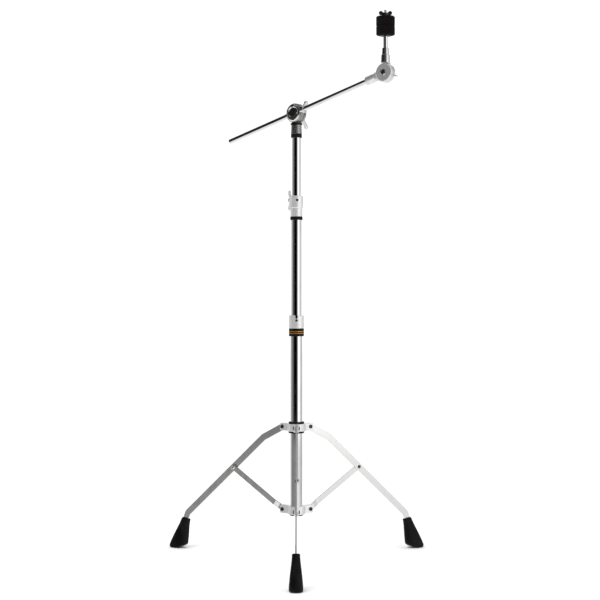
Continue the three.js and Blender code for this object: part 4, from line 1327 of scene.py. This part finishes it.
def post_half():
    """The half under the cymbal rod: half a drum, and a stepped post."""
    out = TILTER_RADIUS + GAP
    (wide, first), (slim, second) = POST

    def field(x, y, z):
        r, q = np.hypot(x, z), np.hypot(x, y)
        half = prism(r - TILTER_RADIUS, y, -GAP - 9, GAP + TILTER_HALF, 3.4)
        half = -meet(-half, y - GAP, 0.5)
        bridge = prism(plate(x, y, (-7.5, GAP), (7.5, TILTER_HALF - 0.6), 2), z,
                       TILTER_RADIUS - 7, out + 3, 1)
        draft = (z - out - first) * DRAFT
        post = meet(prism(q - wide + draft + 0.4, z, out, out + first, 0.8),
                    prism(q - slim + draft - 0.4, z, out + first - 3, out + first + second, 0.8), 0.5)
        body = meet(meet(half, bridge, 2.0), post, 0.8)
        body = cut(body, np.maximum(q - ROD_RADIUS - GAP, out + 2 - z), 0.3)
        return cut(body, r - TILTER_BOLT - GAP, 0.4)
    high = (TILTER_RADIUS, TILTER_HALF + 1, out + first + second)
    shell = cast(field, (-TILTER_RADIUS, -wide, -TILTER_RADIUS), high)
    stand_in_for("post_half", shell, HOLDER, "polished_cast")


def tilter_bolt():
    """The bolt through both halves: a socket head in front, in a bright washer, and a threaded stud behind.
    The head's dark steel is painted shade, standing in for the shadow in its socket's recess."""
    near, stud = -GAP - TILTER_HALF - GAP, GAP + TILTER_HALF + 15
    outline = [(0, near - 1.2), (1.7, near - 1.0, 0.2), (1.9, near - 3.0, 0.3), (3.1, near - 3.0, 0.5),
               (3.3, near, 0.2), (TILTER_BOLT, near, 0.1), (TILTER_BOLT, near + 9, 0.1), (0, near + 9)]
    thread = threaded(TILTER_BOLT - 0.05, near + 8, stud, 1.25)
    # The dark finish on the head is painted shade: the recess's shadow, with the washer bright round it.
    stand_in_for("tilter_bolt", [turned(outline, 64), thread], HOLDER.upended(), "dark_steel")
    rim = turned([(3.5, near - 0.1, 0.2), (3.5, near - 2.2, 0.5), (6.6, near - 1.2, 1.0),
                  (6.6, near - 0.1, 0.2)], 64, closed=True)
    build("tilter_bolt_washer", rim, HOLDER.upended(), "polished_cast", BODY_OF["tilter_bolt"])


def heights(node):
    """A node's lowest and highest points, above the axis that the holder tilts on."""
    return [corner[2] - HOLDER.origin[2] for corner in span(node)]


def cymbal_rod():
    """The rod in the post, shouldered down to the stem, with a thread under the top nut."""
    low, high = heights("cymbal_rod")
    shoulder = heights("felt_sleeve")[0] - GAP
    thread_low = heights("upper_felt")[0]
    outline = [(0, low), (ROD_RADIUS, low, 0.4), (ROD_RADIUS, shoulder, 0.5), (STEM_RADIUS, shoulder, 0.2),
               (STEM_RADIUS, thread_low, 0.3), (STEM_RADIUS - 0.5, thread_low + 0.6, 0.2),
               (STEM_RADIUS - 0.5, thread_low + 2, 0.1), (0, thread_low + 2)]
    stem = threaded(STEM_RADIUS, thread_low + 1, high, 1.0, 40, 1.2)
    stand_in_for("cymbal_rod", [turned(outline), stem], HOLDER, "chrome_tube")


def felt(node, seed):
    """A felt washer: rounded top and bottom, its skin raised and sunk by a few waves in the
    angle and the height."""
    low, high = heights(node)
    radius = width(node)
    inner = FELT_SLEEVE + GAP
    profile = rounded([(inner, low, 0.6), (radius, low, 1.7), (radius, high, 1.7),
                       (inner, high, 0.6)], steps=7, closed=True)
    more = along(np.concatenate([profile, profile[:1]]), 0.7)[:-1]
    angle = np.linspace(0, 2 * np.pi, 200, endpoint=False)
    r, h = more[:, :1], more[:, 1:]
    draw = np.random.default_rng(seed)
    wave = np.zeros((len(more), len(angle)))
    for turns in (3, 5, 8, 13, 21, 34, 55):
        phase, climb = draw.uniform(0, 2 * np.pi), draw.uniform(-1.2, 1.2)
        wave += np.cos(turns * angle + climb * (h - low) * turns ** 0.4 + 0.6 * r + phase) / turns ** 0.75
    outside = np.clip((r - inner) / 2, 0, 1)
    r = r + 0.12 * wave * outside * (r > inner + 3)
    h = h + 0.05 * wave * outside
    rows = np.stack([r * np.cos(angle), r * np.sin(angle), h + 0 * angle], -1)
    piece = stand_in_for(node, woven(rows, closed=True), HOLDER, "black_felt")


def felt_sleeve():
    """The nylon sleeve on the stem, with the flange that the lower felt sits on."""
    low, high = heights("felt_sleeve")
    flange = width("felt_sleeve")
    inner, outer = STEM_RADIUS + GAP, FELT_SLEEVE
    outline = [(inner, low), (flange, low, 0.5), (flange, low + 1.5, 0.5), (outer, low + 1.5, 0.4),
               (outer, high, 0.5), (inner, high)]
    stand_in_for("felt_sleeve", turned(outline, edge=0.3, closed=True), HOLDER, "black_nylon")


def holder():
    boom_end()
    post_half()
    tilter_bolt()
    seat = 2 * GAP + TILTER_HALF
    wing_nut("end_wing_nut", HOLDER.spun(20, "y"), (seat, seat + 6.4), TILTER_BOLT + GAP, 7, END_WINGS)
    cymbal_rod()
    felt_sleeve()
    felt("lower_felt", 4)
    felt("upper_felt", 9)
    low, high = heights("top_washer")
    washer = hollow(STEM_RADIUS + GAP, width("top_washer"), low, high, 0.4)
    stand_in_for("top_washer", washer, HOLDER, "dark_steel")
    place = Place((*HOLDER.origin[:2], span("top_wing_nut")[0][2]), (1, 0, 0), (0, 0, 1), (0, -1, 0))
    wing_nut("top_wing_nut", place, (0, 5.5), STEM_RADIUS + GAP, 5.6, TOP_WINGS, "dark_steel")


# ---- Stage ----

def stage():
    """A pale floor that is bright enough to look white, with soft shadows under the feet."""
    size = 12.0
    mesh = bpy.data.meshes.new("floor")
    mesh.from_pydata([(-size, -size, -0.0005), (size, -size, -0.0005), (size, size, -0.0005),
                      (-size, size, -0.0005)], [], [(0, 1, 2, 3)])
    made = finish("pale_floor")
    cloud = made.noise(3, 3)
    made.surface({"Base Color": made.blended(cloud, grey(0.90), grey(0.93)), "Roughness": 0.9,
                  "Specular IOR Level": 0.0})
    mesh.materials.append(made.owner)
    floor = bpy.data.objects.new("floor", mesh)
    bpy.context.scene.collection.objects.link(floor)
    floor.visible_glossy = False


def studio():
    """A white room for the eye and for matt surfaces. Bright surfaces see tall soft panels, whose
    brightness follows the direction from -180 to 180 degrees with 0 at the camera, a pale floor,
    a narrow dark slit at the left, a dark screen above it and a grey ceiling."""
    world = bpy.data.worlds.new("studio")
    bpy.context.scene.world = world
    made = Finish(world)
    way = made.node("ShaderNodeSeparateXYZ", None,
                    {"Vector": made.node("ShaderNodeTexCoord").outputs["Generated"]})
    x, y, z = (Signal(made, way.outputs[i]) for i in range(3))
    share = x.math("ARCTAN2", x, y * -1.0) / (2 * np.pi) + 0.5
    panels = [(-180, 0.80), (-142, 0.70), (-132, 0.14), (-112, 0.34), (-78, 0.30), (-62, 0.12), (-48, 0.012),
              (-40, 0.0), (-4, 0.0), (8, 0.02), (20, 0.12), (32, 0.80), (40, 1.0), (66, 1.0), (78, 0.58),
              (112, 0.54), (122, 0.30), (138, 0.30), (150, 0.85), (180, 0.80)]
    stops = [((angle + 180) / 360, (level,) * 3) for angle, level in panels]
    panel = made.read("ShaderNodeValToRGB", {"stops": stops}, {0: share})

    def toward(first, second, amount):
        return first + (second - first) * amount
    screen = share.above((180 - 150) / 360, 0.03) * (1 - share.above((180 - 34) / 360, 0.03))
    slit = share.above((180 - 84) / 360, 0.01) * (1 - share.above((180 - 67) / 360, 0.008))
    slit = slit * z.above(-0.60, 0.03) * (1 - z.above(0.22, 0.03))
    level = toward(0.20 + panel * 0.45, panel, z.above(-0.10, 0.012))
    level = toward(0.72, level, z.above(-0.33, 0.06))
    level = toward(level, 0.015, slit)
    level = toward(level, toward(panel * 0.75 + 0.05, 0.012, screen), z.above(0.20, 0.03))
    level = toward(level, 0.26, z.above(0.80, 0.08))
    glossy = made.node("ShaderNodeBackground", None, {"Color": (1, 1, 1, 1), "Strength": level * 1.3})
    plain = made.node("ShaderNodeBackground", None, {"Color": (1, 1, 1, 1), "Strength": 1.1})
    ray = made.node("ShaderNodeLightPath").outputs["Is Glossy Ray"]
    mixed = made.node("ShaderNodeMixShader", None, {0: ray, 1: plain.outputs[0], 2: glossy.outputs[0]})
    made.node("ShaderNodeOutputWorld", None, {"Surface": mixed.outputs[0]})


def lamp(name, place, aim, size, power):
    """A soft square lamp that points at a place."""
    light = bpy.data.lights.new(name, "AREA")
    light.size = size
    light.energy = power
    made = bpy.data.objects.new(name, light)
    bpy.context.scene.collection.objects.link(made)
    made.location = place
    aim = np.array(aim, float) - np.array(place)
    yaw = np.arctan2(aim[0], -aim[1])
    pitch = np.arctan2(np.hypot(aim[0], aim[1]), -aim[2])
    made.rotation_euler = (pitch, 0, yaw + np.pi)
    made.visible_glossy = False
    return made


def camera():
    """A level camera in front of the stand."""
    lens = bpy.data.cameras.new("camera")
    lens.lens = CAMERA_LENS
    lens.sensor_width = 36
    made = bpy.data.objects.new("camera", lens)
    bpy.context.scene.collection.objects.link(made)
    made.location = (AXIS[0] * MM + CAMERA_ASIDE, AXIS[1] * MM - CAMERA_BACK, CAMERA_HEIGHT)
    made.rotation_euler = (np.pi / 2, 0, 0)
    bpy.context.scene.camera = made


camera()
stage()
studio()
lamp("key_lamp", (-1.6, -1.8, 3.2), (0, 0, 0.4), 2.0, 40)
bpy.context.scene.view_settings.view_transform = "Standard"

for side in SIDES:
    leg(side)
    foot(side)
    stay(side)
    pin(f"leg_pin_{side}", side, f"leg_{side}_hinge")
    pin(f"stay_pin_{side}", side, f"stay_{side}_hinge")
    stay_rivet(side)
stay_bracket()
leg_bracket()
leg_bracket_bush()
column()
wing_bolt("leg_bracket", "leg_clamp_bolt_turn", 0, BASE_OUTER + 15.8, BASE_OUTER + 2.8)
wing_bolt("lower", "lower_clamp_bolt_turn", 90, width("lower_band") + BOSS_REACH, MIDDLE_OUTER + 2.8)
wing_bolt("upper", "upper_clamp_bolt_turn", 90, MIDDLE_OUTER + 12.4, UPPER_OUTER + 2.8)
boom_tilter()
holder()

bpy.context.view_layer.update()
